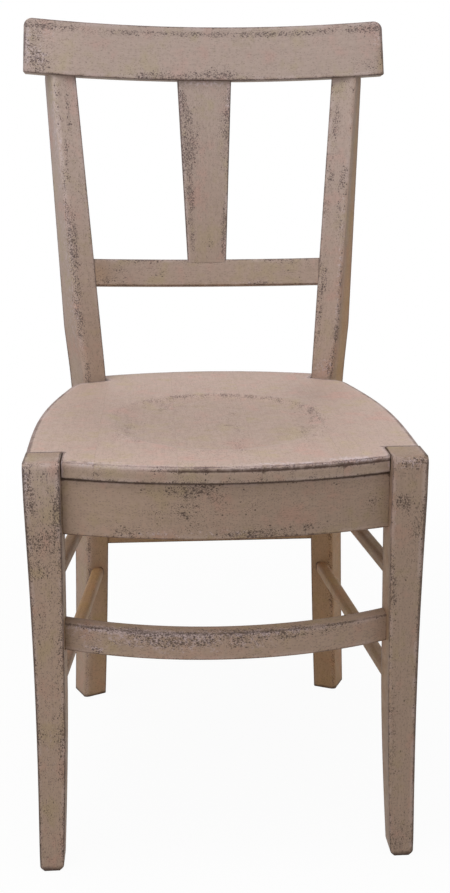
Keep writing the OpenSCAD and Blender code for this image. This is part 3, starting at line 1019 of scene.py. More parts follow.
class JointGrime(Effect):
    """A dark line of old glaze where two pieces meet, which is also painted shadow in the joints and under
    the seat's front edge.
    """

    title = "joint grime"
    inputs = (("Place", "Vector", None), ("Distance", "Float", 50.0), ("Width", "Float", 2.0))
    outputs = (("Grime", "Float"),)

    def build(self, board: Board, given: Outputs) -> dict[str, Socket]:
        """Fades out from the joint with an uneven edge.

        Args:
            board: Where the nodes go.
            given: The group's inputs.

        Returns:
            The mask of the glaze line and its painted shadow.
        """
        edge = board.uneven(board.noise(given["Place"], 160.0, 2.0, 0.6), 1.6, given["Distance"])
        return {"Grime": board.ramp(edge, 0.3, given["Width"], 1.0, 0.0)}


def start_material(title: str) -> tuple[Finish, Board, bpy.types.Node]:
    """Starts a material that is laid out with nodes.

    Args:
        title: Name of the material.

    Returns:
        The material, its board and its surface.
    """
    material = bpy.data.materials.new(title)
    material.use_nodes = True
    return material, Board(material.node_tree), material.node_tree.nodes["Principled BSDF"]


@dataclass(frozen=True)
class AntiquePaint:
    """Rubbed taupe paint with a dark glaze in its flecks, arrises and joints, and with painted shade: darker,
    browner copies of its colours lower down and under the seat, painted shadow in its joints, and painted
    shade and highlights along its arrises.
    """

    title: str
    # Upper, lower and shaded colours are lit and shaded copies of one paint: the lower is darker partly as
    # painted shade, the shaded is painted shade under the seat and on faces turned from the light. The fleck
    # and bare colours come in the same three copies.
    upper: Row
    lower: Row
    sheltered: Row
    pink: Row = (1.07, 0.95, 0.95, 1)
    olive: Row = (0.985, 1.015, 0.87, 1)
    fleck_upper: Row = tint(86, 72, 70)
    fleck_lower: Row = tint(72, 58, 52)
    fleck_sheltered: Row = tint(76, 50, 36)
    bare_upper: Row = tint(196, 179, 178)
    bare_lower: Row = tint(174, 154, 150)
    bare_sheltered: Row = tint(150, 122, 104)
    # Colour of the glaze line in the joints, which is also their painted shadow.
    grime: Row = tint(56, 38, 25)
    gloss: float = 0.28
    mottling: float = 0.95
    faint: float = 0.23
    specked: float = 0.85
    # Strengths of the pale band along the arrises, partly a painted highlight, and of the dark line, partly
    # painted shade.
    rubbed_pale: float = 0.3
    rubbed_dark: float = 0.7
    arris_width: float = 2.1
    joint_strength: float = 0.85
    joint_width: float = 2.2

    def by_tone(self, board: Board, stops: tuple[Row, ...]) -> Socket:
        """Picks a colour among its lit and shaded copies, by how much shade is painted at the point.

        Args:
            board: The material's board.
            stops: Colours of the upper paint, of the lower paint, darker partly as painted shade, and of the
                paint in painted shade.

        Returns:
            The colour's socket.
        """
        ramp = board.add("ShaderNodeValToRGB", {"Fac": board.attribute("tone")})
        elements = ramp.color_ramp.elements
        elements[0].color, elements[1].color = stops[0], stops[2]
        elements.new(0.5).color = stops[1]
        return ramp.outputs[0]

    def material(self) -> Finish:
        """Mixes the paint.

        Returns:
            The material.
        """
        material, board, surface = start_material(self.title)
        place = board.attribute("place", "Vector")
        # Lit and shaded copies of the paint, its flecks and its bare ground, for painted shade.
        ground = self.by_tone(board, (self.upper, self.lower, self.sheltered))
        fleck = self.by_tone(board, (self.fleck_upper, self.fleck_lower, self.fleck_sheltered))
        pale = self.by_tone(board, (self.bare_upper, self.bare_lower, self.bare_sheltered))
        paint = PaintMottling().use(
            board, Place=place, Paint=ground,
            Pink=board.mix(1.0, ground, self.pink, "MULTIPLY"),
            Olive=board.mix(1.0, ground, self.olive, "MULTIPLY"),
            Amount=self.mottling,
        )["Color"]
        streak = GrainStreaks().use(board, Place=place, Fineness=420.0, Length=0.05)["Streak"]
        # Darkened where shade is painted, lightened where light is painted.
        level = board.math("SUBTRACT", board.ramp(streak, 0.3, 0.7, 0.965, 1.03), board.attribute("dull"))
        paint = board.shade(paint, level)
        arris = RubbedArris().use(
            board,
            Place=place,
            Distance=board.attribute("arris"),
            Rub=board.attribute("rub"),
            Width=self.arris_width,
        )
        patch = board.ramp(board.noise(place, 60.0, 2.0, 0.5), 0.36, 0.64, 0.6, 1.25)
        runs = GrainStreaks().use(board, Place=place, Fineness=150.0, Length=0.12)["Streak"]
        thick = board.times(board.attribute("cloud"), patch)
        thick = board.times(thick, board.ramp(runs, 0.4, 0.6, 0.75, 1.2))
        thicker = board.times(thick, 1.12)
        density = board.math("MULTIPLY_ADD", arris["Near"], 0.4, thicker, clamp=True)
        small = PaintStipple().use(
            board, Place=place, Density=board.times(density, 1.3), Fineness=950.0, Stretch=0.6
        )["Fleck"]
        large = PaintStipple().use(
            board, Place=place, Density=board.ramp(density, 0.15, 0.9, 0.0, 0.8), Fineness=480.0, Stretch=0.7
        )["Fleck"]
        faint = PaintStipple().use(board, Place=place, Density=0.55, Fineness=620.0, Stretch=0.5)["Fleck"]
        stroke = HairStrokes().use(board, Place=place, Density=thick, Fineness=190.0)["Stroke"]
        small = board.times(small, board.ramp(density, 0.08, 0.6, 0.55, 0.85))
        speck = board.math("MAXIMUM", small, large)
        speck = board.math("MAXIMUM", speck, board.times(stroke, 0.85))
        bare = BaredGround().use(board, Place=place, Amount=board.attribute("bare"))["Bare"]
        # Pale band along the arrises: rubbed paint and a painted highlight.
        band = board.times(arris["Pale"], self.rubbed_pale)
        rubbed = board.math("MAXIMUM", band, board.times(bare, 0.85))
        paint = board.mix(board.times(faint, self.faint), paint, fleck)
        paint = board.mix(rubbed, paint, pale)
        # Dark line along the arrises: worn paint and painted shade.
        paint = board.mix(board.times(arris["Dark"], self.rubbed_dark), paint, fleck)
        paint = board.mix(board.times(speck, self.specked), paint, fleck)
        # Dark line in the joints: old glaze and painted shadow.
        grime = JointGrime().use(
            board, Place=place, Distance=board.attribute("joint"), Width=self.joint_width
        )["Grime"]
        paint = board.mix(board.times(grime, self.joint_strength), paint, self.grime)
        board.feed(surface.inputs["Base Color"], paint)
        surface.inputs["Specular IOR Level"].default_value = self.gloss
        sheen = board.noise(place, 70.0, 3.0, 0.6)
        rough = board.math("MULTIPLY_ADD", speck, 0.12, board.ramp(sheen, 0.3, 0.7, 0.55, 0.68))
        board.feed(surface.inputs["Roughness"], rough)
        brushed = board.times(streak, 0.5)
        height = board.math("SUBTRACT", brushed, board.times(speck, 0.6))
        height = board.math("SUBTRACT", height, board.times(arris["Dark"], 0.4))
        board.bump(surface, height)
        return material


@dataclass(frozen=True)
class BareWood:
    """Unpainted beech of the hidden corner blocks."""

    title: str = "bare wood"
    pale: Row = tint(205, 172, 130)
    dark: Row = tint(168, 128, 88)
    pore: Row = tint(120, 84, 54)

    def material(self) -> Finish:
        """Draws rings and pores along the wood.

        Returns:
            The material.
        """
        material, board, surface = start_material(self.title)
        place = board.add("ShaderNodeTexCoord").outputs["Object"]
        streak = GrainStreaks().use(board, Place=place, Fineness=160.0, Length=0.12)["Streak"]
        pores = GrainStreaks().use(board, Place=place, Fineness=900.0, Length=0.08)["Streak"]
        wood = board.mix(board.ramp(streak, 0.35, 0.65), self.pale, self.dark)
        wood = board.mix(board.ramp(pores, 0.6, 0.72, 0.0, 0.45), wood, self.pore)
        board.feed(surface.inputs["Base Color"], wood)
        board.feed(surface.inputs["Roughness"], board.ramp(streak, 0.3, 0.7, 0.6, 0.72))
        board.bump(surface, pores)
        return material


@dataclass(frozen=True)
class ZincSteel:
    """Dull plated steel of the screws."""

    title: str = "plated steel"
    bright: Row = tint(176, 176, 172)
    dull: Row = tint(128, 126, 120)

    def material(self) -> Finish:
        """Clouds the plating and scratches it.

        Returns:
            The material.
        """
        material, board, surface = start_material(self.title)
        place = board.add("ShaderNodeTexCoord").outputs["Object"]
        cloudy = board.noise(place, 500.0, 3.0, 0.6)
        plating = board.mix(board.ramp(cloudy, 0.35, 0.65), self.bright, self.dull)
        board.feed(surface.inputs["Base Color"], plating)
        surface.inputs["Metallic"].default_value = 1.0
        board.feed(surface.inputs["Roughness"], board.ramp(cloudy, 0.3, 0.7, 0.32, 0.5))
        scratch = GrainStreaks().use(board, Place=place, Fineness=2500.0, Length=0.1)["Streak"]
        board.bump(surface, scratch, 0.15, 0.0002)
        return material


@dataclass
class Finishes:
    """The chair's finishes, mixed once."""

    frame: Finish = field(
        default_factory=lambda: AntiquePaint(
            title="antique paint on the frame",
            upper=tint(171, 152, 142),
            lower=tint(154, 131, 114),
            sheltered=tint(166, 130, 94),
        ).material()
    )
    # The seat's upper colour is lighter than the frame's, partly as painted light on its level top.
    seat: Finish = field(
        default_factory=lambda: AntiquePaint(
            title="antique paint on the seat",
            upper=tint(188, 164, 152),
            lower=tint(154, 133, 117),
            sheltered=tint(150, 118, 94),
            fleck_upper=tint(100, 82, 80),
            bare_upper=tint(204, 188, 188),
            grime=tint(60, 41, 33),
            joint_strength=0.9,
            joint_width=1.9,
        ).material()
    )
    wood: Finish = field(default_factory=lambda: BareWood().material())
    steel: Finish = field(default_factory=lambda: ZincSteel().material())


def frame_tone(point: Vector) -> float:
    """Gives how far the paint moves from its upper colour by height: pinkish above the seat, darker and
    browner below it, partly as painted shade, and painted shade under the seat towards the back.

    Args:
        point: A point of the chair, in millimetres.

    Returns:
        From 0 upper through 0.5 lower, partly painted shade, to 1 for painted shade.
    """
    # Darker and browner lower down, partly painted shade.
    low = 0.5 * fade(point.z, 800.0, 430.0) ** 1.3
    # Painted shade under the seat, towards the back.
    behind = 0.42 * fade(point.y, 150.0, 330.0) * fade(point.z, 445.0, 425.0)
    return low + behind


# How each piece has aged and where shade and light are painted on it, as rows of a cloud's centre, reach and
# strength.

# Crest rail: painted shade along its lower edge and towards its right end, painted light at its left end.
CREST_WEAR = Wear(
    clouds=patches(
        (0, 0, 56, 420, 40, 3.2, 0.75),
        (60, 0, 57, 60, 40, 4, 0.3),
        (195, 0, 59, 35, 40, 3.5, 0.5),
        (-190, 0, 60, 42, 40, 4, 0.4),
        (-213, 0, 17, 19, 40, 16, 0.75),
        (-216, 0, 45, 13, 40, 18, 0.35),
        (-45, 0, 5, 60, 40, 5, 0.55),
        (-80, 0, 3, 18, 40, 4, 0.45),
        (25, 0, 8, 28, 40, 8, 0.45),
        (100, 0, 3, 90, 40, 4, 0.25),
        (222, 0, 55, 12, 40, 10, 0.45),
        (210, 0, 12, 16, 40, 12, 0.35),
        (222, 0, 30, 12, 40, 22, 0.2),
    ),
    ground=0.06,
    browned=patches((230, 0, 14, 7, 40, 26, 0.45), (0, 0, -1, 420, 40, 2.4, 0.5)),
    dulled=patches(
        (120, 0, 33, 210, 40, 100, 0.07),
        (222, 0, 30, 30, 40, 60, 0.05),
        (-205, 0, 35, 50, 40, 60, -0.09),
    ),
    bared=patches(
        (-228, 0, 34, 4, 40, 30, 0.8),
        (-212, 0, 20, 12, 40, 14, 0.55),
        (-205, 0, 50, 20, 40, 10, 0.3),
        (225, 0, 40, 6, 40, 20, 0.3),
    ),
)
# Splat: painted shade, browner low in its middle and a little darker over all.
SPLAT_WEAR = Wear(
    clouds=patches(
        (-27, 4, -75, 10, 30, 46, 0.95),
        (-25, 4, -150, 4.5, 30, 60, 0.95),
        (-30, 4, -22, 7, 30, 14, 0.5),
        (-8, 4, -75, 16, 30, 36, 0.22),
        (28, 4, -75, 9, 30, 52, 0.5),
        (33, 4, -30, 4, 30, 16, 0.5),
        (29.5, 4, -200, 3.4, 30, 38, 1.1),
        (6, 4, -215, 8, 30, 8, 0.4),
        (-28, 4, -195, 7, 30, 30, 0.3),
    ),
    ground=0.07,
    browned=patches((6, 4, -150, 60, 40, 110, 0.14)),
    rub=1.7,
    dulled=patches((0, 4, -90, 100, 40, 270, 0.08)),
    bared=patches(
        (0, 4, -5, 34, 30, 4, 0.6),
        (32, 4, -30, 4, 30, 14, 0.6),
        (-34, 4, -110, 2.4, 30, 80, 0.45),
    ),
)
# Lower rail: painted shade along its lower edge, browner and darker by the left post.
LOWER_RAIL_WEAR = Wear(
    clouds=patches(
        (-89, 0, -237, 16, 20, 3, 0.6),
        (-6, 0, -237, 22, 20, 3, 0.7),
        (95, 0, -237, 26, 20, 3, 0.5),
        (-68, 0, -252, 12, 20, 8, 0.4),
        (71, 0, -267, 16, 20, 3, 0.6),
        (-131, 0, -264, 9, 20, 4, 0.6),
        (-120, 0, -254, 26, 20, 14, 0.25),
        (120, 0, -247, 20, 20, 12, 0.25),
    ),
    ground=0.08,
    browned=patches((-142, 0, -253, 20, 20, 20, 0.35), (0, 0, -270, 300, 20, 2.4, 0.4)),
    dulled=patches((-120, 0, -253, 40, 20, 30, 0.05)),
    bared=patches((-30, 0, -235, 60, 20, 2.5, 0.5), (60, 0, -266, 40, 20, 3, 0.4)),
)
# Posts: browner painted shade on the right post's outer side; elsewhere the paint is mostly lifted as painted
# light, and a little darker on the right post's upper front as painted shade.
POST_WEAR = {
    Side.LEFT: Wear(
        clouds=patches(
            (-5, 0, 806, 2.6, 12, 26, 0.7),
            (-15, 0, 796, 2.6, 12, 28, 0.65),
            (-9, 0, 748, 3.5, 12, 14, 0.6),
            (-6, 0, 710, 3.5, 12, 18, 0.55),
            (-0.5, 0, 705, 3, 6, 14, 0.5),
            (-3, 0, 676, 6, 12, 12, 0.6),
            (-5, 0, 636, 6, 12, 26, 0.7),
            (0, 2, 618, 3, 6, 16, 0.6),
            (-5, 0, 570, 5.5, 12, 34, 0.75),
            (-3, 0, 520, 5.5, 12, 26, 0.5),
            (-5.5, 0, 466, 2.4, 10, 14, 0.9),
            (-2, 2, 200, 4, 7, 230, 0.4),
            (-22, 0, 690, 5, 12, 90, 0.2),
        ),
        ground=0.1,
        browned=patches((0, 24, 150, 8, 40, 330, -0.4), (-14, 0, 150, 40, 12, 330, -0.12)),
        dulled=patches(
            (0, 30, 600, 5, 36, 420, -0.13),
            (-14, 0, 790, 30, 12, 150, -0.08),
            (0, 24, 130, 6, 36, 330, -0.12),
            (-18, 0, 150, 34, 12, 330, -0.09),
        ),
        bared=patches(
            (-1, 12, 780, 5, 20, 70, 0.45),
            (-1, 14, 600, 5, 24, 130, 0.35),
            (-28, 0, 820, 4, 12, 16, 0.4),
        ),
    ),
    Side.RIGHT: Wear(
        clouds=patches(
            (-21, 0, 780, 4.5, 12, 40, 0.6),
            (-21.5, 0, 710, 4.5, 12, 12, 0.7),
            (-23, 0, 672, 4.5, 12, 12, 0.7),
            (-7, 0, 713, 4.5, 12, 14, 0.7),
            (-7, 0, 660, 4.5, 12, 34, 0.4),
            (-12, 0, 826, 12, 12, 8, 0.3),
            (-21.5, 0, 590, 3.5, 12, 28, 0.55),
            (0, 0, 565, 2.6, 6, 45, 0.6),
            (-2, 0, 512, 3.5, 8, 30, 0.7),
            (-5, 0, 466, 4, 10, 12, 0.85),
            (-2, 2, 200, 4, 7, 230, 0.5),
            (-23, 0, 540, 4.5, 12, 60, 0.35),
        ),
        ground=0.1,
        browned=patches((0, 40, 680, 4, 36, 500, 0.75), (-14, 0, 500, 24, 10, 90, -0.16)),
        dulled=patches(
            (-14, 0, 500, 24, 10, 90, -0.04),
            (-18, 0, 760, 24, 10, 160, 0.03),
            (0, 24, 720, 5, 30, 300, -0.1),
        ),
        bared=patches(
            (-2, 0, 540, 4, 8, 70, 0.3),
            (-14, 0, 470, 14, 8, 12, 0.4),
            (-4, 1, 640, 5, 6, 60, 0.25),
        ),
    ),
}
SEAT_WEAR = Wear(
    clouds=(
        Ring((0, 194), 121, 6, 0.7, 95, 55),
        Ring((0, 194), 117, 8, 0.4, 25, 40),
        *patches(
            (-110, 115, 455, 9, 16, 20, 0.3),
            (-88, 92, 455, 16, 9, 20, 0.35),
            (-60, 57, 455, 16, 9, 20, 0.3),
            (-8, 40, 455, 44, 7, 20, 0.3),
            (-62, 262, 455, 28, 36, 20, 0.26),
            (-25, 185, 455, 105, 120, 20, 0.14),
            (9, 169, 455, 9, 4, 20, 0.5),
            (20, 170, 455, 6, 130, 20, 0.22),
            (15, 76, 455, 6, 30, 20, 0.45),
            (-148, 210, 455, 5, 80, 20, 0.18),
            (88, 122, 455, 26, 40, 20, 0.42),
            (104, 190, 455, 22, 60, 20, 0.3),
            (-100, 160, 455, 14, 60, 20, 0.25),
            (20, -16, 450, 130, 9, 4, 0.5),
            (130, -2, 451, 40, 9, 5, 0.5),
            (0, -14, 440, 170, 20, 3, 0.35),
            (-130, 0, 446, 40, 12, 7, 0.3),
            (0, 440, 440, 90, 30, 12, 0.2),
        ),
    ),
    ground=0.025,
    # Darker over the seat's middle; painted shade towards the left and behind the right post, painted light
    # on the front edge's left end.
    dulled=patches(
        (0, 185, 452, 175, 180, 20, 0.15),
        (-130, 0, 444, 80, 24, 9, -0.12),
        (-135, 220, 455, 60, 140, 20, 0.08),
        (120, 315, 455, 34, 70, 20, 0.13),
    ),
    bared=patches(
        (-165.5, 8, 446, 1.6, 18, 14, 1.0),
        (166, 10, 448, 5, 18, 12, 0.6),
        (-130, 3, 455, 36, 5, 6, 0.55),
        (60, -12, 455, 60, 6, 5, 0.55),
        (128, 2, 455, 34, 7, 5, 0.8),
        (-98, 112, 455, 20, 50, 20, 0.18),
    ),
)
# Legs: browner painted shade on the inner faces, painted shade over the right leg, and painted light on the
# left leg's top and on parts of the inner faces.
LEG_WEAR = {
    Side.LEFT: Wear(
        clouds=patches(
            (198, 0, 432, 7, 14, 26, 0.45),
            (170, 0, 407, 5, 14, 16, 0.6),
            (186, 0, 375, 18, 14, 30, 0.3),
            (171, 0, 283, 3.6, 10, 30, 0.55),
            (199, 0, 163, 4, 10, 12, 0.35),
            (173, 0, 170, 5, 10, 50, 0.35),
            (172, 0, 60, 4, 10, 60, 0.25),
        ),
        ground=0.27,
        rub=1.3,
        browned=patches((165, 30, 250, 4, 30, 160, 0.4), (186, 0, 450, 34, 30, 46, -0.28)),
        dulled=patches(
            (168, 2, 380, 4.5, 12, 90, 0.08),
            (186, 0, 445, 20, 14, 30, -0.04),
            (166, 28, 330, 3, 22, 120, -0.06),
        ),
        bared=patches(
            (201, 2, 440, 5, 14, 22, 0.6),
            (203, 0, 300, 2.5, 10, 120, 0.45),
            (186, 0, 150, 14, 10, 110, 0.16),
        ),
    ),
    Side.RIGHT: Wear(
        clouds=patches(
            (192, 2, 449, 14, 14, 5, 0.65),
            (181, 0, 408, 8, 14, 10, 0.85),
            (184, 0, 388, 3, 10, 8, 0.5),
            (195, 0, 382, 6, 12, 14, 0.45),
            (171, 0, 314, 3.2, 8, 30, 0.8),
            (173, 0, 150, 3.6, 8, 85, 0.45),
            (185, 0, 22, 20, 14, 18, 0.4),
        ),
        ground=0.17,
        rub=1.4,
        browned=patches((165, 30, 250, 4, 30, 160, 0.4)),
        dulled=patches((186, 0, 230, 90, 14, 460, 0.13), (166, 28, 330, 3, 22, 140, -0.24)),
        bared=patches((186, 2, 450, 20, 14, 6, 0.5), (169, 0, 380, 2.5, 8, 40, 0.4)),
    ),
}
# Front apron: painted shade along its lower edge, its lower part and its right side, painted light on its
# left side.
FRONT_APRON_WEAR = Wear(
    clouds=patches(
        (-35, 0, 428, 42, 40, 7, 0.5),
        (-29, 0, 430, 16, 40, 4, 0.5),
        (-42, 0, 404, 36, 40, 22, 0.36),
        (-100, 0, 386, 13, 40, 8, 0.75),
        (28, 0, 381, 24, 40, 5, 0.85),
        (75, 0, 385, 34, 40, 7, 0.42),
        (0, 0, 383, 13, 40, 3, 0.5),
        (150, 0, 406, 10, 40, 12, 0.35),
        (112, 0, 430, 28, 40, 4, 0.35),
        (40, 0, 412, 50, 40, 22, 0.2),
    ),
    ground=0.09,
    browned=patches((0, 0, 376, 300, 40, 2.4, 0.4)),
    dulled=patches(
        (130, 0, 407, 140, 40, 80, 0.08),
        (-145, 0, 407, 80, 40, 80, -0.07),
        (20, 0, 380, 220, 40, 36, 0.06),
    ),
    bared=patches((-70, 0, 382, 24, 40, 5, 0.35), (-4, 0, 384, 40, 40, 5, 0.25)),
)
# Front stretcher: painted shade along its lower edge and on its right, painted light along its top.
FRONT_STRETCHER_WEAR = Wear(
    clouds=patches(
        (-70, 2, 277, 85, 8, 4, 0.8),
        (50, 2, 277, 65, 8, 4, 0.65),
        (-50, 0, 269, 80, 8, 6, 0.75),
        (60, 0, 272, 50, 8, 3.5, 0.4),
        (-136, 0, 254, 8, 10, 3.5, 0.6),
    ),
    ground=0.1,
    browned=patches((0, 0, 248, 300, 40, 2.4, 0.3)),
    dulled=patches((0, 12, 281, 300, 10, 3, -0.08), (120, 0, 264, 60, 20, 20, 0.05)),
    bared=patches(
        (-95, 0, 277.5, 75, 8, 3, 0.8),
        (50, 0, 277.5, 70, 8, 3, 0.5),
        (-136, 0, 254, 9, 10, 4, 0.7),
        (-60, 0, 268, 110, 8, 12, 0.4),
    ),
)


# The chair's sub-assemblies.


@dataclass
class BackRest:
    """Crest rail, splat and lower rail."""

    finishes: Finishes
    crest_half: float = 231.0
    crest_height: float = 66.0
    crest_slope: float = 2.5
    crest_top_radius: float = 11.0
    crest_low_radius: float = 1.2
    crest_arris: float = 2.4
    crest_lip: float = 2.8
    crest_lip_height: float = 24.0
    crest_face: float = 6.0
    crest_levels: Row = (
        0, 1, 4, 7, 10, 14, 18, 23, 28, 33, 38, 43, 48, 51, 54, 57, 60, 62.5, 65
    )
    crest_depths: Row = (4.6, 11.0, 17.4)
    opening: float = 235.0
    splat_top: float = 71.0
    splat_foot: float = 51.0
    splat_thickness: float = 13.0
    splat_arris: float = 1.6
    splat_margin: float = 3.0
    splat_joint: float = 1.2
    rail_height: float = 35.0
    rail_thickness: float = 18.0
    rail_inset: float = 5.0
    rail_arris: float = 2.2
    rail_joint: float = 1.5
    rail_grip: float = 9.0
    margin: float = 3.2
    grip: float = 4.0

    def crest_rail(self) -> Piece:
        """Shapes the crest rail: sloping ends, rounded corners, then the bow and the rake.

        Returns:
            The crest rail.
        """
        half, height, thick = self.crest_half, self.crest_height, PLAN.crest_thickness
        timber = Timber("finished_crest_rail", (-half, 0, 0), (half, thick, height), Axis.X)
        for x in (-half, half):
            timber.soften(self.crest_top_radius, timber.runs(Axis.Y, x=x, z=height), 8)
            timber.soften(self.crest_low_radius, timber.runs(Axis.Y, x=x, z=0), 4)

        def on_face(edge: Edge) -> bool:
            """Tells whether the edge outlines the front or the back."""
            ys = [v.co.y for v in edge.verts]
            return abs(ys[0] - ys[1]) < TOUCH

        timber.soften(self.crest_arris, on_face, 4)
        timber.divide(Axis.X, STEP)
        timber.cut(Axis.Z, *self.crest_levels)
        timber.cut(Axis.Y, *self.crest_depths)

        def to_arris(co: Vector) -> float:
            """Gives the distance to the rubbed lines along the rail's edges.

            Args:
                co: A point of the blank.

            Returns:
                The distance.
            """
            if co.y > self.crest_face:
                return timber.to_arris(co)
            ends = self.crest_half - self.crest_slope * co.z / self.crest_height - abs(co.x)
            return min(self.crest_height - co.z, co.z, ends)

        timber.mark(CREST_WEAR, 300.0, to_arris)

        def place(co: Vector) -> Vector:
            """Slopes the ends, bows the rail and rakes it.

            Args:
                co: A point of the blank.

            Returns:
                The point in the chair.
            """
            x = co.x * (1 - self.crest_slope / self.crest_half * co.z / self.crest_height)
            lip = self.crest_lip * (1 - co.y / thick) * fade(co.z, self.crest_lip_height, 0.0)
            return BACK.place(x, BACK.hollow(x, co.y), co.z - lip)

        timber.shape(place, frame_tone)
        return timber.finish(self.finishes.frame, Slot.FRAME, "crest_rail")

    def back_splat(self) -> Piece:
        """Shapes the splat, which narrows to its foot.

        Returns:
            The splat.
        """
        half = self.splat_top / 2
        front = (PLAN.crest_thickness - self.splat_thickness) / 2
        low = (-half, front, -self.opening - self.grip)
        high = (half, front + self.splat_thickness, self.grip)
        timber = Timber("finished_back_splat", low, high, Axis.Z)
        for x in (-half, half):
            for y in (low[1], high[1]):
                timber.soften(self.splat_arris, timber.runs(Axis.Z, x=x, y=y), 3)
        timber.divide(Axis.Z, STEP)
        timber.divide(Axis.X, 3.2, -half + self.splat_margin, half - self.splat_margin)
        timber.cut(Axis.Y, (low[1] + high[1]) / 2)

        def joint(co: Vector) -> float:
            """Gives the distance to the crest rail."""
            return max(0.0, self.crest_lip - self.splat_joint - co.z)

        timber.mark(SPLAT_WEAR, 900.0, joint=joint)

        def place(co: Vector) -> Vector:
            """Narrows the splat to its foot and rakes it."""
            share = min(1.0, max(0.0, -co.z / self.opening))
            return BACK.place(co.x * (1 + (self.splat_foot / self.splat_top - 1) * share), co.y, co.z)

        timber.shape(place, frame_tone)
        return timber.finish(self.finishes.frame, Slot.FRAME, "back_splat")

    def lower_rail(self) -> Piece:
        """Shapes the lower rail, bowed as the crest rail is.

        Returns:
            The lower rail.
        """
        top = -self.opening
        base = top - self.rail_height
        level = BACK.origin_z + (base + top) / 2 * math.cos(BACK.rake)
        inner = POST.face(level, POST.width + POST.widening(level)).x
        half = inner + self.rail_grip
        low, high = (-half, 0, base), (half, self.rail_thickness, top)
        timber = Timber("finished_lower_back_rail", low, high, Axis.X)
        for y in (low[1], high[1]):
            for z in (base, top):
                timber.soften(self.rail_arris, timber.runs(Axis.X, y=y, z=z), 3)
        timber.divide(Axis.X, STEP)
        timber.divide(Axis.Z, 3.6, base + self.margin, top - self.margin)
        timber.divide(Axis.Y, 6.0, self.margin, self.rail_thickness - self.margin)

        def joint(co: Vector) -> float:
            """Gives the distance to the posts."""
            return max(0.0, inner + self.rail_joint - abs(co.x))

        timber.mark(LOWER_RAIL_WEAR, 1500.0, joint=joint)

        def place(co: Vector) -> Vector:
            """Bows the rail and rakes it."""
            return BACK.place(co.x, BACK.hollow(co.x, co.y + self.rail_inset), co.z)

        timber.shape(place, frame_tone)
        return timber.finish(self.finishes.frame, Slot.FRAME, "lower_back_rail")

    def build(self) -> list[Piece]:
        """Builds the back rest's pieces."""
        return [self.crest_rail(), self.back_splat(), self.lower_rail()]


@dataclass
class BackPosts:
    """The two back posts, each in one piece from the floor to the crest rail."""

    finishes: Finishes
    arris: float = 2.4
    worn_arris: float = 7.0
    top_trim: float = 12.0
    length: float = 852.0
    margin: float = 3.4
    # Widens the dark line along the outer side's rear, as painted shade.
    rear_rub: float = 0.3
    outer_skin: float = 0.6
    crest_joint: float = 837.0
    seat_joint: float = 456.5
    # Darkens the paint towards the floor.
    foot_rub: float = 0.35
    foot_level: float = 12.0
    grip: float = 3.0

    def post(self, side: Side) -> Piece:
        """Shapes one post: kicked foot, bend at the seat, flare, turn and lean.

        Args:
            side: Which post.

        Returns:
            The post.
        """
        name = side.name.lower()
        low, high = (-POST.width, 0, 0), (0, POST.bend_depth, self.length)
        timber = Timber(f"finished_{name}_back_post", low, high, Axis.Z)
        timber.soften(self.worn_arris, timber.runs(Axis.Z, x=high[0], y=low[1]), 6)
        for x, y in ((low[0], low[1]), (low[0], high[1]), (high[0], high[1])):
            timber.soften(self.arris, timber.runs(Axis.Z, x=x, y=y), 3)
        timber.soften(1.0, lambda edge: all(v.co.z < TOUCH for v in edge.verts), 2)
        timber.divide(Axis.Z, 5.2, 2.0, self.length - 2.0)
        timber.divide(Axis.X, 3.0, low[0] + self.margin, high[0] - self.margin)
        timber.divide(Axis.Y, 7.0, self.margin, high[1] - self.margin)

        def to_arris(co: Vector) -> float:
            """Gives the distance to an arris, with a wider line of painted shade along the outer side's rear.
            """
            near = timber.to_arris(co)
            return min(near, self.rear_rub * (high[1] - co.y)) if co.x > -self.outer_skin else near

        timber.mark(POST_WEAR[side], 2100.0 + 700.0 * side, to_arris, self.to_joint)
        timber.shape(self.place, frame_tone)
        self.trim(timber)
        if side == Side.LEFT:
            timber.mirror()
        return timber.finish(self.finishes.frame, Slot.FRAME, f"{name}_back_post")

    def to_joint(self, co: Vector) -> float:
        """Gives the distance to the crest rail, the seat and the floor, along the post."""
        foot = self.foot_rub * co.z + 0.1
        return min(abs(self.crest_joint - co.z), abs(co.z - self.seat_joint) + 1.2, foot)

    def place(self, co: Vector) -> Vector:
        """Puts a point of the straight post where the real post runs.

        Args:
            co: The point in the blank.

        Returns:
            The point in the chair, on its right-hand side.
        """
        z = co.z
        inner = POST.width + POST.splay(z)
        widened = -inner + (co.x + POST.width) * (inner + POST.widening(z)) / POST.width
        share = co.y / POST.bend_depth
        point = POST.place(widened, POST.front(z) + share * POST.depth(z), z)
        if z < self.foot_level:
            floor = POST.place(widened, POST.front(0) + share * POST.depth(0), 0).z
            up = z / self.foot_level
            point.z = z + (point.z - z - floor) * (1 - up) + (point.z - z) * up
        return point

    def trim(self, timber: Timber) -> None:
        """Cuts the post's top at the crest rail and slopes its rear corner up to that rail.

        Args:
            timber: The shaped post.
        """
        top = BACK.place(0, 0, self.grip)
        normal = BACK.place(0, 0, 1) - BACK.place(0, 0, 0)
        bmesh.ops.contextual_create(timber.mesh, geom=timber.slice(top, normal, clear=True))
        limit = BACK.bow + PLAN.crest_thickness - 1
        for vert in timber.mesh.verts:
            local = BACK.upright(vert.co)
            if local.z < -self.top_trim - 1:
                continue
            allowed = limit + min(self.top_trim, max(0.0, -local.z))
            reach = math.hypot(local.x, local.y + BACK.bow)
            if reach > allowed:
                share = allowed / reach
                vert.co = BACK.place(local.x * share, (local.y + BACK.bow) * share - BACK.bow, local.z)

    def build(self) -> list[Piece]:
        """Builds both posts."""
        return [self.post(side) for side in Side]


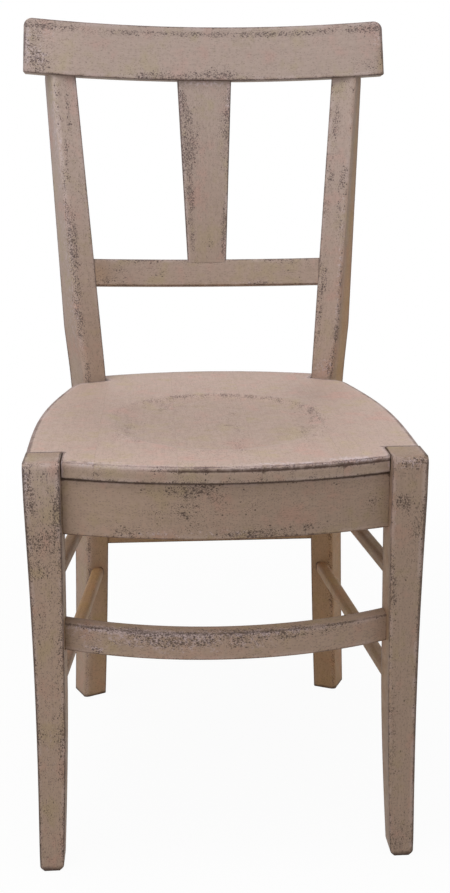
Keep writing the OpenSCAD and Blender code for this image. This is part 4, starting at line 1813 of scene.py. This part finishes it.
@dataclass
class Seat:
    """The seat: five boards glued side by side, dished, bowed and notched."""

    finishes: Finishes
    front_inset: float = 12.0
    front_bow: float = 32.0
    overhang: float = 0.5
    swell: float = 4.0
    corner_reach: float = 17.0
    corner_run: float = 24.0
    tail_reach: float = 38.0
    tail_bow: float = 30.0
    gap: float = 1.2
    joints: Row = (-133.0, -50.0, 33.0, 116.0)
    dish_radius: float = 124.0
    dish_rim: float = 17.0
    dish_depth: float = 4.0
    dish_y: float = 194.0
    dish_front: float = 152.0
    worn_left: float = -112.0
    arris: float = 4.2
    low_arris: float = 1.5
    half_width: float = 206.0
    front_end: float = -20.0
    rear_end: float = 468.0
    side_pulls: tuple[float, float] = (0.44, 0.62)
    curve_steps: int = 16
    edge_steps: int = 20
    step: float = 4.5
    glue_line: float = 1.45
    worn_run: tuple[float, float] = (-25.0, -120.0)
    # A wider line of painted shade along the rim of the sides, from this height above the underside.
    worn_reach: float = 30.0
    worn_rim: float = 2.9
    worn_side: float = 9.0
    search: float = 40.0
    names: tuple[str, ...] = ("left_outer", "left_inner", "middle", "right_inner", "right_outer")

    def curve(self, *points: Vector) -> list[Vector]:
        """Draws a cubic curve through its first and last control points.

        Args:
            *points: Four control points.

        Returns:
            Points along the curve.
        """
        a, b, c, d = points
        steps = [i / self.curve_steps for i in range(self.curve_steps + 1)]
        return [
            (1 - t) ** 3 * a + 3 * (1 - t) ** 2 * t * b + 3 * (1 - t) * t * t * c + t**3 * d for t in steps
        ]

    def front_y(self, x: float) -> float:
        """Gives where the seat's front edge lies at a distance from the centre line."""
        return bulge(x, 0.0, self.front_inset, self.front_bow)

    def tail_y(self, x: float) -> float:
        """Gives where the seat's rear edge lies.

        Args:
            x: Distance from the centre line.

        Returns:
            Distance behind the front legs' faces.
        """
        half = POST.face(PLAN.seat_top, POST.width / 2).x + self.tail_reach * math.tan(POST.turn) * 0.5
        radius = (half * half + self.tail_bow**2) / (2 * self.tail_bow)
        drop = radius - math.sqrt(radius * radius - x * x)
        return POST.edge(PLAN.seat_top).y + self.tail_reach + self.tail_bow - drop

    def post_notch(self, z: float) -> tuple[Vector, Vector, Vector]:
        """Gives the notch round a post at a level of the seat.

        Args:
            z: The level.

        Returns:
            Outer corner, inner corner, and the direction in which its inner side runs back.
        """
        front = POST.front(z) - self.gap
        outer = POST.place(POST.widening(z) + self.gap, front, z)
        inner = POST.place(-POST.width - self.gap, front, z)
        along = POST.place(-POST.width - self.gap, front + 1, z) - inner
        return outer, inner, along

    def half_outline(self) -> list[Vector]:
        """Draws the right half of the seat's outline, from the front to the tail.

        Returns:
            Points in order, the first and last on the centre line.
        """
        notch = PLAN.leg_inner - self.gap
        count = self.edge_steps
        points = [Vector((notch * i / count, self.front_y(notch * i / count), 0)) for i in range(count + 1)]
        points.append(Vector((notch, PLAN.leg_depth + self.gap, 0)))
        start = Vector((PLAN.half_frame + self.overhang, PLAN.leg_depth, 0))
        edge = POST.edge(PLAN.seat_top).to_2d().to_3d()
        end = edge + Vector((self.corner_reach, -self.corner_run, 0))
        swing = end.y - start.y
        side = self.curve(
            start,
            start + Vector((self.swell, swing * self.side_pulls[0], 0)),
            start + Vector((self.swell / 3, swing * self.side_pulls[1], 0)),
            end,
        )
        points.append(Vector((start.x, PLAN.leg_depth + self.gap, 0)))
        points.extend(side[1:])
        outer, inner, along = (v.to_2d().to_3d() for v in self.post_notch(PLAN.seat_top))
        across = (inner - outer).normalized()
        corner = self.curve(
            end,
            end + Vector((-self.corner_reach * 0.18, self.corner_run * 0.5, 0)),
            end + Vector((-self.corner_reach * 0.41, self.corner_run * 0.8, 0)),
            edge + Vector((1, 1, 0)),
        )
        for before, after in zip(corner, corner[1:]):
            a, b = (before - outer).dot(across), (after - outer).dot(across)
            if b >= 0:
                points.append(before.lerp(after, -a / (b - a)))
                break
            points.append(after)
        points.extend((outer, inner))
        reach = 0.0
        while (inner + along * reach).y < self.tail_y((inner + along * reach).x):
            reach += 0.05
        meet = inner + along * reach
        points.append(meet)
        xs = (meet.x * i / count for i in range(count - 1, -1, -1))
        points.extend(Vector((x, self.tail_y(x), 0)) for x in xs)
        return points

    def slab(self) -> tuple[Timber, list[Vector]]:
        """Saws the whole seat to its outline, softens its edges and divides its faces.

        Returns:
            The slab, and the outline that its wear is measured from.
        """
        half = self.half_outline()
        outline = half + [Vector((-p.x, p.y, 0)) for p in reversed(half[1:-1])]
        mesh = bmesh.new()
        base = [mesh.verts.new((p.x, p.y, PLAN.seat_base)) for p in outline]
        face = mesh.faces.new(base)
        lifted = bmesh.ops.extrude_face_region(mesh, geom=[face])
        tops = [item for item in lifted["geom"] if isinstance(item, bmesh.types.BMVert)]
        bmesh.ops.translate(mesh, verts=tops, vec=(0, 0, PLAN.seat_top - PLAN.seat_base))
        slope = self.post_notch(PLAN.seat_base)[1] - self.post_notch(PLAN.seat_top)[1]
        for vert in mesh.verts:
            if vert.co.z < PLAN.seat_base + 1 and self.in_notch(vert.co):
                vert.co.y += slope.y
        low = (-self.half_width, self.front_end, PLAN.seat_base)
        high = (self.half_width, self.rear_end, PLAN.seat_top)
        timber = Timber("seat_slab", low, high, Axis.Y, mesh)

        def on_rim(edge: Edge) -> bool:
            """Tells whether the edge is a free edge of the seat's top."""
            return all(v.co.z > PLAN.seat_top - TOUCH for v in edge.verts) and not self.by_notch(edge)

        def under_rim(edge: Edge) -> bool:
            """Tells whether the edge is a free edge of the seat's underside."""
            return all(v.co.z < PLAN.seat_base + TOUCH for v in edge.verts) and not self.by_notch(edge)

        timber.soften(self.arris, on_rim, 4)
        timber.soften(self.low_arris, under_rim, 2)
        timber.cut(Axis.X, *self.joints)
        edges = (-self.half_width, *self.joints, self.half_width)
        for start, end in zip(edges, edges[1:]):
            timber.divide(Axis.X, self.step, start, end)
        timber.divide(Axis.Y, self.step)
        middle = (PLAN.seat_base + PLAN.seat_top) / 2
        timber.cut(Axis.Z, PLAN.seat_base + 2.5, middle, PLAN.seat_top - self.arris - 1.0)
        return timber, outline

    def in_notch(self, point: Vector) -> bool:
        """Tells whether a point of the outline lies against a post.

        Args:
            point: The point.

        Returns:
            Whether it is a corner of a notch.
        """
        outer, inner, _ = self.post_notch(PLAN.seat_top)
        place = Vector((abs(point.x), point.y, 0))
        return min((place - p.to_2d().to_3d()).length for p in (outer, inner)) < 0.5

    def by_notch(self, edge: Edge) -> bool:
        """Tells whether an edge of the outline lies in a notch round a leg or a post.

        Args:
            edge: The edge.

        Returns:
            Whether it does, so that it stays sharp.
        """
        middle = (edge.verts[0].co + edge.verts[1].co) / 2
        x, y = abs(middle.x), middle.y
        if x > PLAN.leg_inner - self.gap - 0.3 and y < PLAN.leg_depth + self.gap + 0.3:
            return True
        outer, inner, along = (v.to_2d().to_3d() for v in self.post_notch(PLAN.seat_top))
        across = (inner - outer).normalized()
        offset = Vector((x, y, 0)) - outer
        span = offset.dot(across)
        return -0.4 < span < (inner - outer).length + 0.4 and offset.dot(along) > -3.0

    def in_dish(self, co: Vector) -> float:
        """Gives how far a point lies into the dish.

        Args:
            co: A point of the seat.

        Returns:
            0 outside the dish, rising over its rim to 1 on its floor.
        """
        along = co.y - self.dish_y
        if along < 0:
            along *= self.dish_radius / self.dish_front
        return fade(self.dish_radius + 1.5 - math.hypot(co.x, along), 0.0, self.dish_rim + 3)

    def dish(self, co: Vector) -> Vector:
        """Sinks the top into the dish.

        Args:
            co: A point of the slab.

        Returns:
            The point in the dished seat.
        """
        if co.z < PLAN.seat_top - 1e-2:
            return co
        return Vector((co.x, co.y, co.z - self.dish_depth * self.in_dish(co)))

    def tone(self, point: Vector) -> float:
        """Gives how far the seat's paint moves from its upper colour: browner and darker on the edge's faces
        and towards the left, as painted shade, and a little darker in the dish.

        Args:
            point: A point of the seat.

        Returns:
            The amount, from 0 upper to 1 for painted shade.
        """
        if point.z < PLAN.seat_top - self.dish_depth - 0.1:
            return 0.5 * fade(point.z, 451.0, 449.0)
        return 0.1 * self.in_dish(point) + 0.06 * fade(point.x, -80.0, -200.0)

    def to_line(self, co: Vector) -> float:
        """Gives the distance to the glue lines, to the lines worn along the front edge and to the painted
        shadow line along its underside.

        Args:
            co: A point of the seat.

        Returns:
            The distance, with the fainter lines set a little further off.
        """
        near = min(abs(co.x - x) for x in self.joints) + self.glue_line
        behind = co.y - self.front_y(min(PLAN.leg_inner, abs(co.x))) if abs(co.x) < PLAN.leg_inner else FAR
        if behind < self.arris + 0.4 and co.z < PLAN.seat_top - 0.05:
            broken = 1.6 * fade(co.x, *self.worn_run) - 0.7
            near = min(near, abs(PLAN.seat_top - self.arris - co.z) + broken)
            # Painted shadow line along the front edge's underside, above the apron.
            near = min(near, abs(PLAN.seat_base - co.z))
        elif behind < self.worn_reach and co.x < self.worn_left and co.z > PLAN.seat_top - 0.1:
            near = min(near, abs(behind - self.arris))
        return near

    def to_outline(self, outline: list[Vector]) -> Measure:
        """Makes the measure of the distance to the seat's rubbed lines.

        Args:
            outline: The seat's outline.

        Returns:
            Distance from a point of the seat to its nearest arris.
        """
        pairs = list(zip(outline, outline[1:] + outline[:1]))

        def measure(co: Vector) -> float:
            """Gives the second smallest distance to the rim, the top and the underside.

            Args:
                co: A point of the seat.

            Returns:
                The distance, shorter along the sides' rim, where a wider line of painted shade runs.
            """
            flat = Vector((co.x, co.y, 0))
            near = FAR
            for a, b in pairs:
                beside = min(abs(a.x - flat.x), abs(b.x - flat.x))
                behind = min(abs(a.y - flat.y), abs(b.y - flat.y))
                if max(beside, behind) > self.search:
                    continue
                run = b - a
                t = min(1.0, max(0.0, (flat - a).dot(run) / run.length_squared))
                near = min(near, (a + run * t - flat).length)
            gaps = sorted((near, abs(PLAN.seat_top - co.z), abs(co.z - PLAN.seat_base)))
            # Wider painted shade along the sides' rim behind the legs.
            worn = co.y > PLAN.leg_depth and co.z > PLAN.seat_base + self.worn_side
            return gaps[1] - (self.worn_rim if worn else 0.0)

        return measure

    def build(self) -> list[Piece]:
        """Builds the slab and saws it into its boards along the glue lines.

        Returns:
            The five boards.
        """
        timber, outline = self.slab()
        timber.mark(SEAT_WEAR, 0.0, self.to_outline(outline), self.to_line)
        timber.shape(self.dish, self.tone)
        edges = (-BEYOND, *self.joints, BEYOND)
        boards = []
        for index, name in enumerate(self.names):
            boards.append(self.saw(timber, name, edges[index], edges[index + 1], 800.0 * index))
        timber.mesh.free()
        return boards

    def saw(self, slab: Timber, name: str, x0: float, x1: float, shift: float) -> Piece:
        """Cuts one board out of the slab.

        Args:
            slab: The whole seat.
            name: Name of the board.
            x0: Its left-hand glue line.
            x1: Its right-hand glue line.
            shift: Distance by which its grain is moved.

        Returns:
            The board.
        """
        board = Timber(f"finished_{name}_seat_board", slab.low, slab.high, Axis.Y, slab.mesh.copy())
        for x, outward in ((x0, -1.0), (x1, 1.0)):
            if abs(x) < BEYOND:
                board.slice(Vector((x, 0, 0)), Vector((outward, 0, 0)), clear=True)
                rim = [edge for edge in board.mesh.edges if edge.is_boundary]
                bmesh.ops.holes_fill(board.mesh, edges=rim, sides=0)
        place = board.mesh.verts.layers.float_vector["place"]
        for vert in board.mesh.verts:
            vert[place] = vert[place] + Vector((shift, shift / 3, 0)) * MM
        return board.finish(self.finishes.seat, Slot.SEAT, f"{name}_seat_board")


@dataclass
class FrontLegs:
    """The two square front legs, which taper inward to the foot."""

    finishes: Finishes
    waist: float = 33.5
    foot_width: float = 25.0
    foot_round: float = 4.6
    foot_round_height: float = 5.2
    foot_round_front: float = 0.08
    foot_depth: float = 28.0
    taper_height: float = 210.0
    taper_power: float = 1.4
    hollow: float = 2.8
    hollow_base: float = 20.0
    hollow_height: float = 400.0
    long_edge: float = 60.0
    top_rise: float = 1.0
    top_radius: float = 7.0
    arris: float = 2.6
    foot_arris: float = 0.7
    # Darkens the paint towards the floor.
    foot_rub: float = 0.3
    foot_cuts: Row = (1.4, 2.6, 4.0)
    # Shift the dark lines on the inner and outer arrises; the wider lines are partly painted shade on the
    # rounded arris.
    left_lines: tuple[float, float] = (-0.5, 0.9)
    right_lines: tuple[float, float] = (1.0, 1.5)
    margin: float = 3.6

    def leg(self, side: Side) -> Piece:
        """Shapes one leg.

        Args:
            side: Which leg.

        Returns:
            The leg.
        """
        name = side.name.lower()
        top = PLAN.seat_top + self.top_rise
        low, high = (PLAN.leg_inner, 0, 0), (PLAN.half_frame, PLAN.leg_depth, top)
        timber = Timber(f"finished_{name}_front_leg", low, high, Axis.Z)
        timber.soften(self.top_radius, timber.runs(Axis.X, y=0, z=top), 6)
        timber.soften(self.top_radius, timber.runs(Axis.Y, x=high[0], z=top), 6)

        def long_arris(edge: Edge) -> bool:
            """Tells whether the edge stands up the leg, or rounds its front corner's top."""
            a, b = (v.co for v in edge.verts)
            return abs(a.z - b.z) > self.long_edge

        timber.soften(self.arris, long_arris, 3)
        timber.soften(self.foot_arris, lambda edge: all(v.co.z < TOUCH for v in edge.verts), 2)
        timber.divide(Axis.Z, 5.2, 6.0, top - self.top_radius)
        timber.cut(Axis.Z, *self.foot_cuts)
        timber.divide(Axis.X, 3.4, low[0] + self.margin, high[0] - self.margin)
        timber.divide(Axis.Y, 7.0, self.margin, high[1] - self.margin)
        timber.mark(
            LEG_WEAR[side],
            3300.0 + 900.0 * side,
            lambda co: self.to_arris(co, side),
            lambda co: self.foot_rub * co.z,
        )
        timber.shape(self.place, frame_tone)
        if side == Side.LEFT:
            timber.mirror()
        return timber.finish(self.finishes.frame, Slot.FRAME, f"{name}_front_leg")

    def to_arris(self, co: Vector, side: Side) -> float:
        """Gives the distance to the leg's nearest arris, its top and foot among them.

        Args:
            co: A point of the blank.
            side: Which leg, as the lines on their outer arrises differ.

        Returns:
            The distance, shorter where the line is wider.
        """
        inner, outer = self.right_lines if side == Side.RIGHT else self.left_lines
        top = PLAN.seat_top + self.top_rise
        across = (co.x - PLAN.leg_inner + inner, PLAN.half_frame - co.x - outer)
        return sorted((*across, co.y, PLAN.leg_depth - co.y, abs(top - co.z), co.z))[1]

    def place(self, co: Vector) -> Vector:
        """Narrows the leg below the apron and hollows its outer edge.

        Args:
            co: The point in the blank.

        Returns:
            The point in the chair, on its right-hand side.
        """
        z = co.z
        below = max(0.0, PLAN.apron_base - z) / (PLAN.apron_base - self.taper_height)
        width = PLAN.half_frame - PLAN.leg_inner
        inner = PLAN.leg_inner + (width - self.waist) * min(1.0, below)
        taper = (max(0.0, self.taper_height - z) / self.taper_height) ** self.taper_power
        inner += (self.waist - self.foot_width) * taper
        rear = PLAN.leg_depth - (PLAN.leg_depth - self.foot_depth) * taper
        share = min(1.0, max(0.0, (z - self.hollow_base) / self.hollow_height))
        outer = PLAN.half_frame - self.hollow * (4 * share * (1 - share)) ** 1.2
        across = (co.x - PLAN.leg_inner) / width
        tuck = self.foot_round * max(0.0, 1.0 - z / self.foot_round_height) ** 1.3
        x = inner + tuck + across * (outer - inner - 2 * tuck)
        front = tuck * self.foot_round_front
        return Vector((x, front + co.y * (rear - 2 * front) / PLAN.leg_depth, z))

    def build(self) -> list[Piece]:
        """Builds both legs."""
        return [self.leg(side) for side in Side]


@dataclass(frozen=True)
class Bar:
    """Sizes of one apron or stretcher."""

    node: str
    base: float
    height: float
    thickness: float
    inset: float = 0.0
    bow: float = 0.0
    arris: float = 1.8
    wear: Wear = Wear()
    shift: float = 0.0


@dataclass
class SeatFrame:
    """Aprons and stretchers between the legs and the posts."""

    finishes: Finishes
    grip: float = 6.0
    side_size: float = 15.0
    side_radius: float = 4.5
    post_grip: float = 4.0
    # Dark lines where the bars meet the legs and the seat: old glaze and painted shadow.
    leg_line: float = 0.9
    seat_line: float = 1.1

    def bowed(self, bar: Bar) -> Piece:
        """Shapes a bar that bulges forward between the front legs.

        Args:
            bar: Its sizes.

        Returns:
            The bar.
        """
        legs = FrontLegs(self.finishes)
        inner = legs.place(Vector((PLAN.leg_inner, 0, bar.base + bar.height / 2))).x
        half = inner + self.grip
        low = (-half, 0, bar.base)
        high = (half, bar.thickness, bar.base + bar.height)
        timber = self.squared(bar, low, high, Axis.X)
        edge = PLAN.seat_base - self.seat_line if high[2] == PLAN.seat_base else BEYOND

        def joint(co: Vector) -> float:
            """Gives the distance to the legs, and to the seat where the bar meets it, for the glaze line and
            painted shadow there.
            """
            return max(0.0, min(inner - abs(co.x) + self.leg_line, edge - co.z))

        timber.mark(bar.wear, bar.shift, joint=joint)
        timber.shape(lambda co: Vector((co.x, bulge(co.x, co.y, bar.inset, bar.bow), co.z)), frame_tone)
        return timber.finish(self.finishes.frame, Slot.FRAME, bar.node)

    def straight(self, bar: Bar) -> Piece:
        """Shapes a straight bar between the back posts.

        Args:
            bar: Its sizes.

        Returns:
            The bar.
        """
        level = bar.base + bar.height / 2
        half = POST.face(level, POST.width / 2).x + self.post_grip
        front = POST.setback + bar.inset
        low = (-half, front, bar.base)
        high = (half, front + bar.thickness, bar.base + bar.height)
        timber = self.squared(bar, low, high, Axis.X)
        inner = POST.face(level, POST.width + POST.splay(level)).x + bar.inset * math.tan(POST.turn)
        timber.mark(bar.wear, bar.shift, joint=lambda co: max(0.0, inner - abs(co.x)))
        timber.shape(lambda co: co.copy(), frame_tone)
        return timber.finish(self.finishes.frame, Slot.FRAME, bar.node)

    def squared(self, bar: Bar, low: Row, high: Row, axis: Axis) -> Timber:
        """Saws, softens and divides a bar's blank.

        Args:
            bar: Its sizes.
            low: Lowest corner of the blank.
            high: Highest corner of the blank.
            axis: Axis along which it runs.

        Returns:
            The blank.
        """
        timber = Timber(f"finished_{bar.node}", low, high, axis)
        timber.soften(bar.arris, timber.runs(axis), 3)
        timber.divide(axis, STEP)
        edge = bar.arris + 1.0
        for other in Axis:
            if other != axis:
                timber.divide(other, 3.6, low[other] + edge, high[other] - edge)
        return timber

    def from_leg_to_post(self, bar: Bar, side: Side) -> Piece:
        """Shapes a bar that runs from a front leg back to the post behind it.

        Args:
            bar: Its sizes.
            side: Which side of the chair.

        Returns:
            The bar.
        """
        level = bar.base + bar.height / 2
        start = Vector((PLAN.leg_centre, PLAN.leg_depth, 0))
        end = POST.face(level, POST.width / 2)
        run = Vector((end.x - start.x, end.y - start.y, 0))
        half = bar.thickness / 2
        low = (-half, -self.grip, bar.base)
        high = (half, run.length + self.grip, bar.base + bar.height)
        timber = self.squared(bar, low, high, Axis.Y)
        shift = bar.shift + 1100.0 * side
        timber.mark(bar.wear, shift, joint=lambda co: max(0.0, min(co.y, run.length - co.y)))
        along = run.normalized()
        across = Vector((along.y, -along.x, 0))

        def place(co: Vector) -> Vector:
            """Turns the bar to run from the leg to the post."""
            spot = start + along * co.y + across * co.x
            return Vector((spot.x, spot.y, co.z))

        timber.shape(place, frame_tone)
        if side == Side.LEFT:
            timber.mirror()
        return timber.finish(self.finishes.frame, Slot.FRAME, bar.node)

    def aprons(self) -> list[Piece]:
        """Builds the four aprons.

        Returns:
            The aprons.
        """
        base, height, thickness = PLAN.apron_base, PLAN.seat_base - PLAN.apron_base, 20.0
        pieces = [
            self.bowed(
                Bar(
                    "front_apron", base, height, thickness, inset=15.0, bow=28.0,
                    wear=FRONT_APRON_WEAR, shift=4700.0,
                )
            ),
            self.straight(Bar("rear_apron", base, height, thickness, inset=20.0, shift=5600.0)),
        ]
        for side in Side:
            bar = Bar(f"{side.name.lower()}_side_apron", base, height, thickness, shift=6900.0)
            pieces.append(self.from_leg_to_post(bar, side))
        return pieces

    def stretchers(self) -> list[Piece]:
        """Builds the front, rear and side stretchers.

        Returns:
            The stretchers.
        """
        pieces = [
            self.bowed(
                Bar(
                    "front_stretcher", base=249.0, height=30.0, thickness=19.0, inset=17.0, bow=36.0,
                    wear=FRONT_STRETCHER_WEAR, shift=8200.0,
                )
            ),
            self.straight(
                Bar("rear_stretcher", base=228.0, height=28.0, thickness=18.0, inset=20.0, shift=9100.0)
            ),
        ]
        size = self.side_size
        for side in Side:
            for place, level in (("upper", 310.0), ("lower", 189.0)):
                node = f"{side.name.lower()}_{place}_side_stretcher"
                middle = (0.0, 150.0, level)
                # Side stretchers: browner as painted shade, and a little lighter as painted light.
                wear = Wear(
                    ground=0.04,
                    browned=patches((*middle, 60, 420, 60, 0.22)),
                    dulled=patches((*middle, 60, 500, 60, -0.08)),
                )
                bar = Bar(
                    node, level - size / 2, size, size, arris=self.side_radius, wear=wear,
                    shift=9900.0 + 7 * level,
                )
                pieces.append(self.from_leg_to_post(bar, side))
        return pieces

    def blocks(self, nodes: dict[str, Piece]) -> list[Piece]:
        """Dresses the corner blocks and their screws, which keep their solids.

        Args:
            nodes: The frame's solids by name.

        Returns:
            The dressed solids.
        """
        dressed = []
        for name, solid in nodes.items():
            if name.endswith(("_corner_block", "screws")):
                finish = self.finishes.steel if name.endswith("screws") else self.finishes.wood
                solid.data.materials.clear()
                solid.data.materials.append(finish)
                dressed.append(solid)
                LOG.info("%s: dressed", name)
        return dressed

    def build(self, nodes: dict[str, Piece]) -> list[Piece]:
        """Builds the bars and dresses the blocks."""
        return self.aprons() + self.stretchers() + self.blocks(nodes)


@dataclass
class Studio:
    """Camera, soft lamps, pale world and floor."""

    centre: tuple[float, float, float] = (-0.07017, -1.43432, 0.77908)
    yaw: float = 0.0829
    pitch: float = 0.25941
    roll: float = 0.00376
    focal: float = 1225.95584
    middle: tuple[float, float] = (255.62449, 450.3865)
    picture: tuple[int, int] = (450, 893)
    floor_half: float = 7.0
    floor_glow: tuple[float, float] = (0.95, 1.0)
    floor_clear: tuple[float, float] = (0.55, 1.6)
    sky: float = 0.4

    def camera(self) -> None:
        """Sets the camera at the picture's viewing angle."""
        data = bpy.data.cameras.new("camera")
        wide, tall = self.picture
        data.lens = self.focal * data.sensor_width / tall
        data.shift_x = (wide / 2 - self.middle[0]) / tall
        data.shift_y = (self.middle[1] - tall / 2) / tall
        eye = bpy.data.objects.new("camera", data)
        ahead = Vector(
            (
                math.sin(self.yaw) * math.cos(self.pitch),
                math.cos(self.yaw) * math.cos(self.pitch),
                -math.sin(self.pitch),
            )
        )
        level = Vector((math.cos(self.yaw), -math.sin(self.yaw), 0))
        upright = level.cross(ahead)
        right = math.cos(self.roll) * level + math.sin(self.roll) * upright
        up = -math.sin(self.roll) * level + math.cos(self.roll) * upright
        turn = Matrix((right, up, -ahead)).transposed().to_4x4()
        eye.matrix_world = Matrix.Translation(self.centre) @ turn
        bpy.context.scene.collection.objects.link(eye)
        bpy.context.scene.camera = eye

    def lamp(
        self, name: str, place: Row, aim: Row, size: float, power: float
    ) -> None:
        """Hangs a soft square lamp.

        Args:
            name: Its name.
            place: Where it hangs.
            aim: Where it points.
            size: Length of its sides.
            power: Its power in watts.
        """
        data = bpy.data.lights.new(name, "AREA")
        data.shape = "SQUARE"
        data.size = size
        data.energy = power
        lamp = bpy.data.objects.new(name, data)
        lamp.location = place
        lamp.rotation_euler = (Vector(aim) - Vector(place)).to_track_quat("-Z", "Y").to_euler()
        bpy.context.scene.collection.objects.link(lamp)

    def seen(self, board: Board) -> Socket:
        """Picks out the rays that show the background: straight, mirrored or through glass.

        Args:
            board: Where the nodes go.

        Returns:
            1 for such rays and 0 for others.
        """
        path = board.add("ShaderNodeLightPath").outputs
        straight = board.math("MAXIMUM", path["Is Camera Ray"], path["Is Glossy Ray"])
        return board.math("MAXIMUM", straight, path["Is Transmission Ray"])

    def world(self) -> None:
        """Makes the world white where it is seen, and softer as a light."""
        world = bpy.data.worlds.new("studio")
        world.use_nodes = True
        board = Board(world.node_tree)
        back = world.node_tree.nodes["Background"]
        back.inputs["Color"].default_value = (1, 1, 1, 1)
        strength = board.math("MULTIPLY_ADD", self.seen(board), 1.0 - self.sky, self.sky)
        board.feed(back.inputs["Strength"], strength)
        bpy.context.scene.world = world

    def floor(self) -> None:
        """Lays a pale floor that is white where it is seen, and keeps a soft shadow."""
        mesh = bmesh.new()
        bmesh.ops.create_grid(mesh, x_segments=1, y_segments=1, size=self.floor_half)
        data = bpy.data.meshes.new("floor")
        mesh.to_mesh(data)
        mesh.free()
        material, board, surface = start_material("pale floor")
        surface.inputs["Base Color"].default_value = (0.8, 0.8, 0.8, 1)
        surface.inputs["Roughness"].default_value = 0.9
        surface.inputs["Specular IOR Level"].default_value = 0.1
        glow = board.add("ShaderNodeEmission", {"Color": (1, 1, 1, 1), "Strength": 1.0})
        away = board.add("ShaderNodeVectorMath", operation="LENGTH")
        board.feed(away.inputs[0], board.add("ShaderNodeTexCoord").outputs["Object"])
        glowing = board.ramp(away.outputs["Value"], *self.floor_clear, *self.floor_glow)
        share = board.times(self.seen(board), glowing)
        both = board.add("ShaderNodeMixShader", {0: share, 1: surface.outputs[0], 2: glow.outputs[0]})
        board.feed(material.node_tree.nodes["Material Output"].inputs["Surface"], both.outputs[0])
        data.materials.append(material)
        floor = bpy.data.objects.new("floor", data)
        bpy.context.scene.collection.objects.link(floor)
        floor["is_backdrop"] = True

    def build(self) -> None:
        """Sets up the camera, the lamps, the world and the floor."""
        self.camera()
        self.world()
        self.floor()
        self.lamp("overhead lamp", (-0.5, -0.7, 3.2), (0, 0, 0.4), size=2.4, power=56.0)
        self.lamp("front lamp", (-0.7, -3.2, 1.8), (0, 0, 0.6), size=2.2, power=24.0)
        bpy.context.scene.view_settings.view_transform = "Standard"


def main() -> None:
    """Builds the chair round its frame, piece by piece, and works out its bounds before and after."""
    logging.basicConfig(level=logging.INFO, format="%(name)s: %(message)s")
    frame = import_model()
    solid_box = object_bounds()
    Studio().build()
    finishes = Finishes()
    pieces = BackRest(finishes).build()
    pieces += BackPosts(finishes).build()
    pieces += Seat(finishes).build()
    pieces += FrontLegs(finishes).build()
    pieces += SeatFrame(finishes).build(frame["nodes"])
    LOG.info("%d pieces", len(pieces))
    visual_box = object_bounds()
    boxes = {"cad": solid_box, "visual": visual_box}
    {key: [list(corner) for corner in box] for key, box in boxes.items()}


if __name__ == "__main__":
    main()
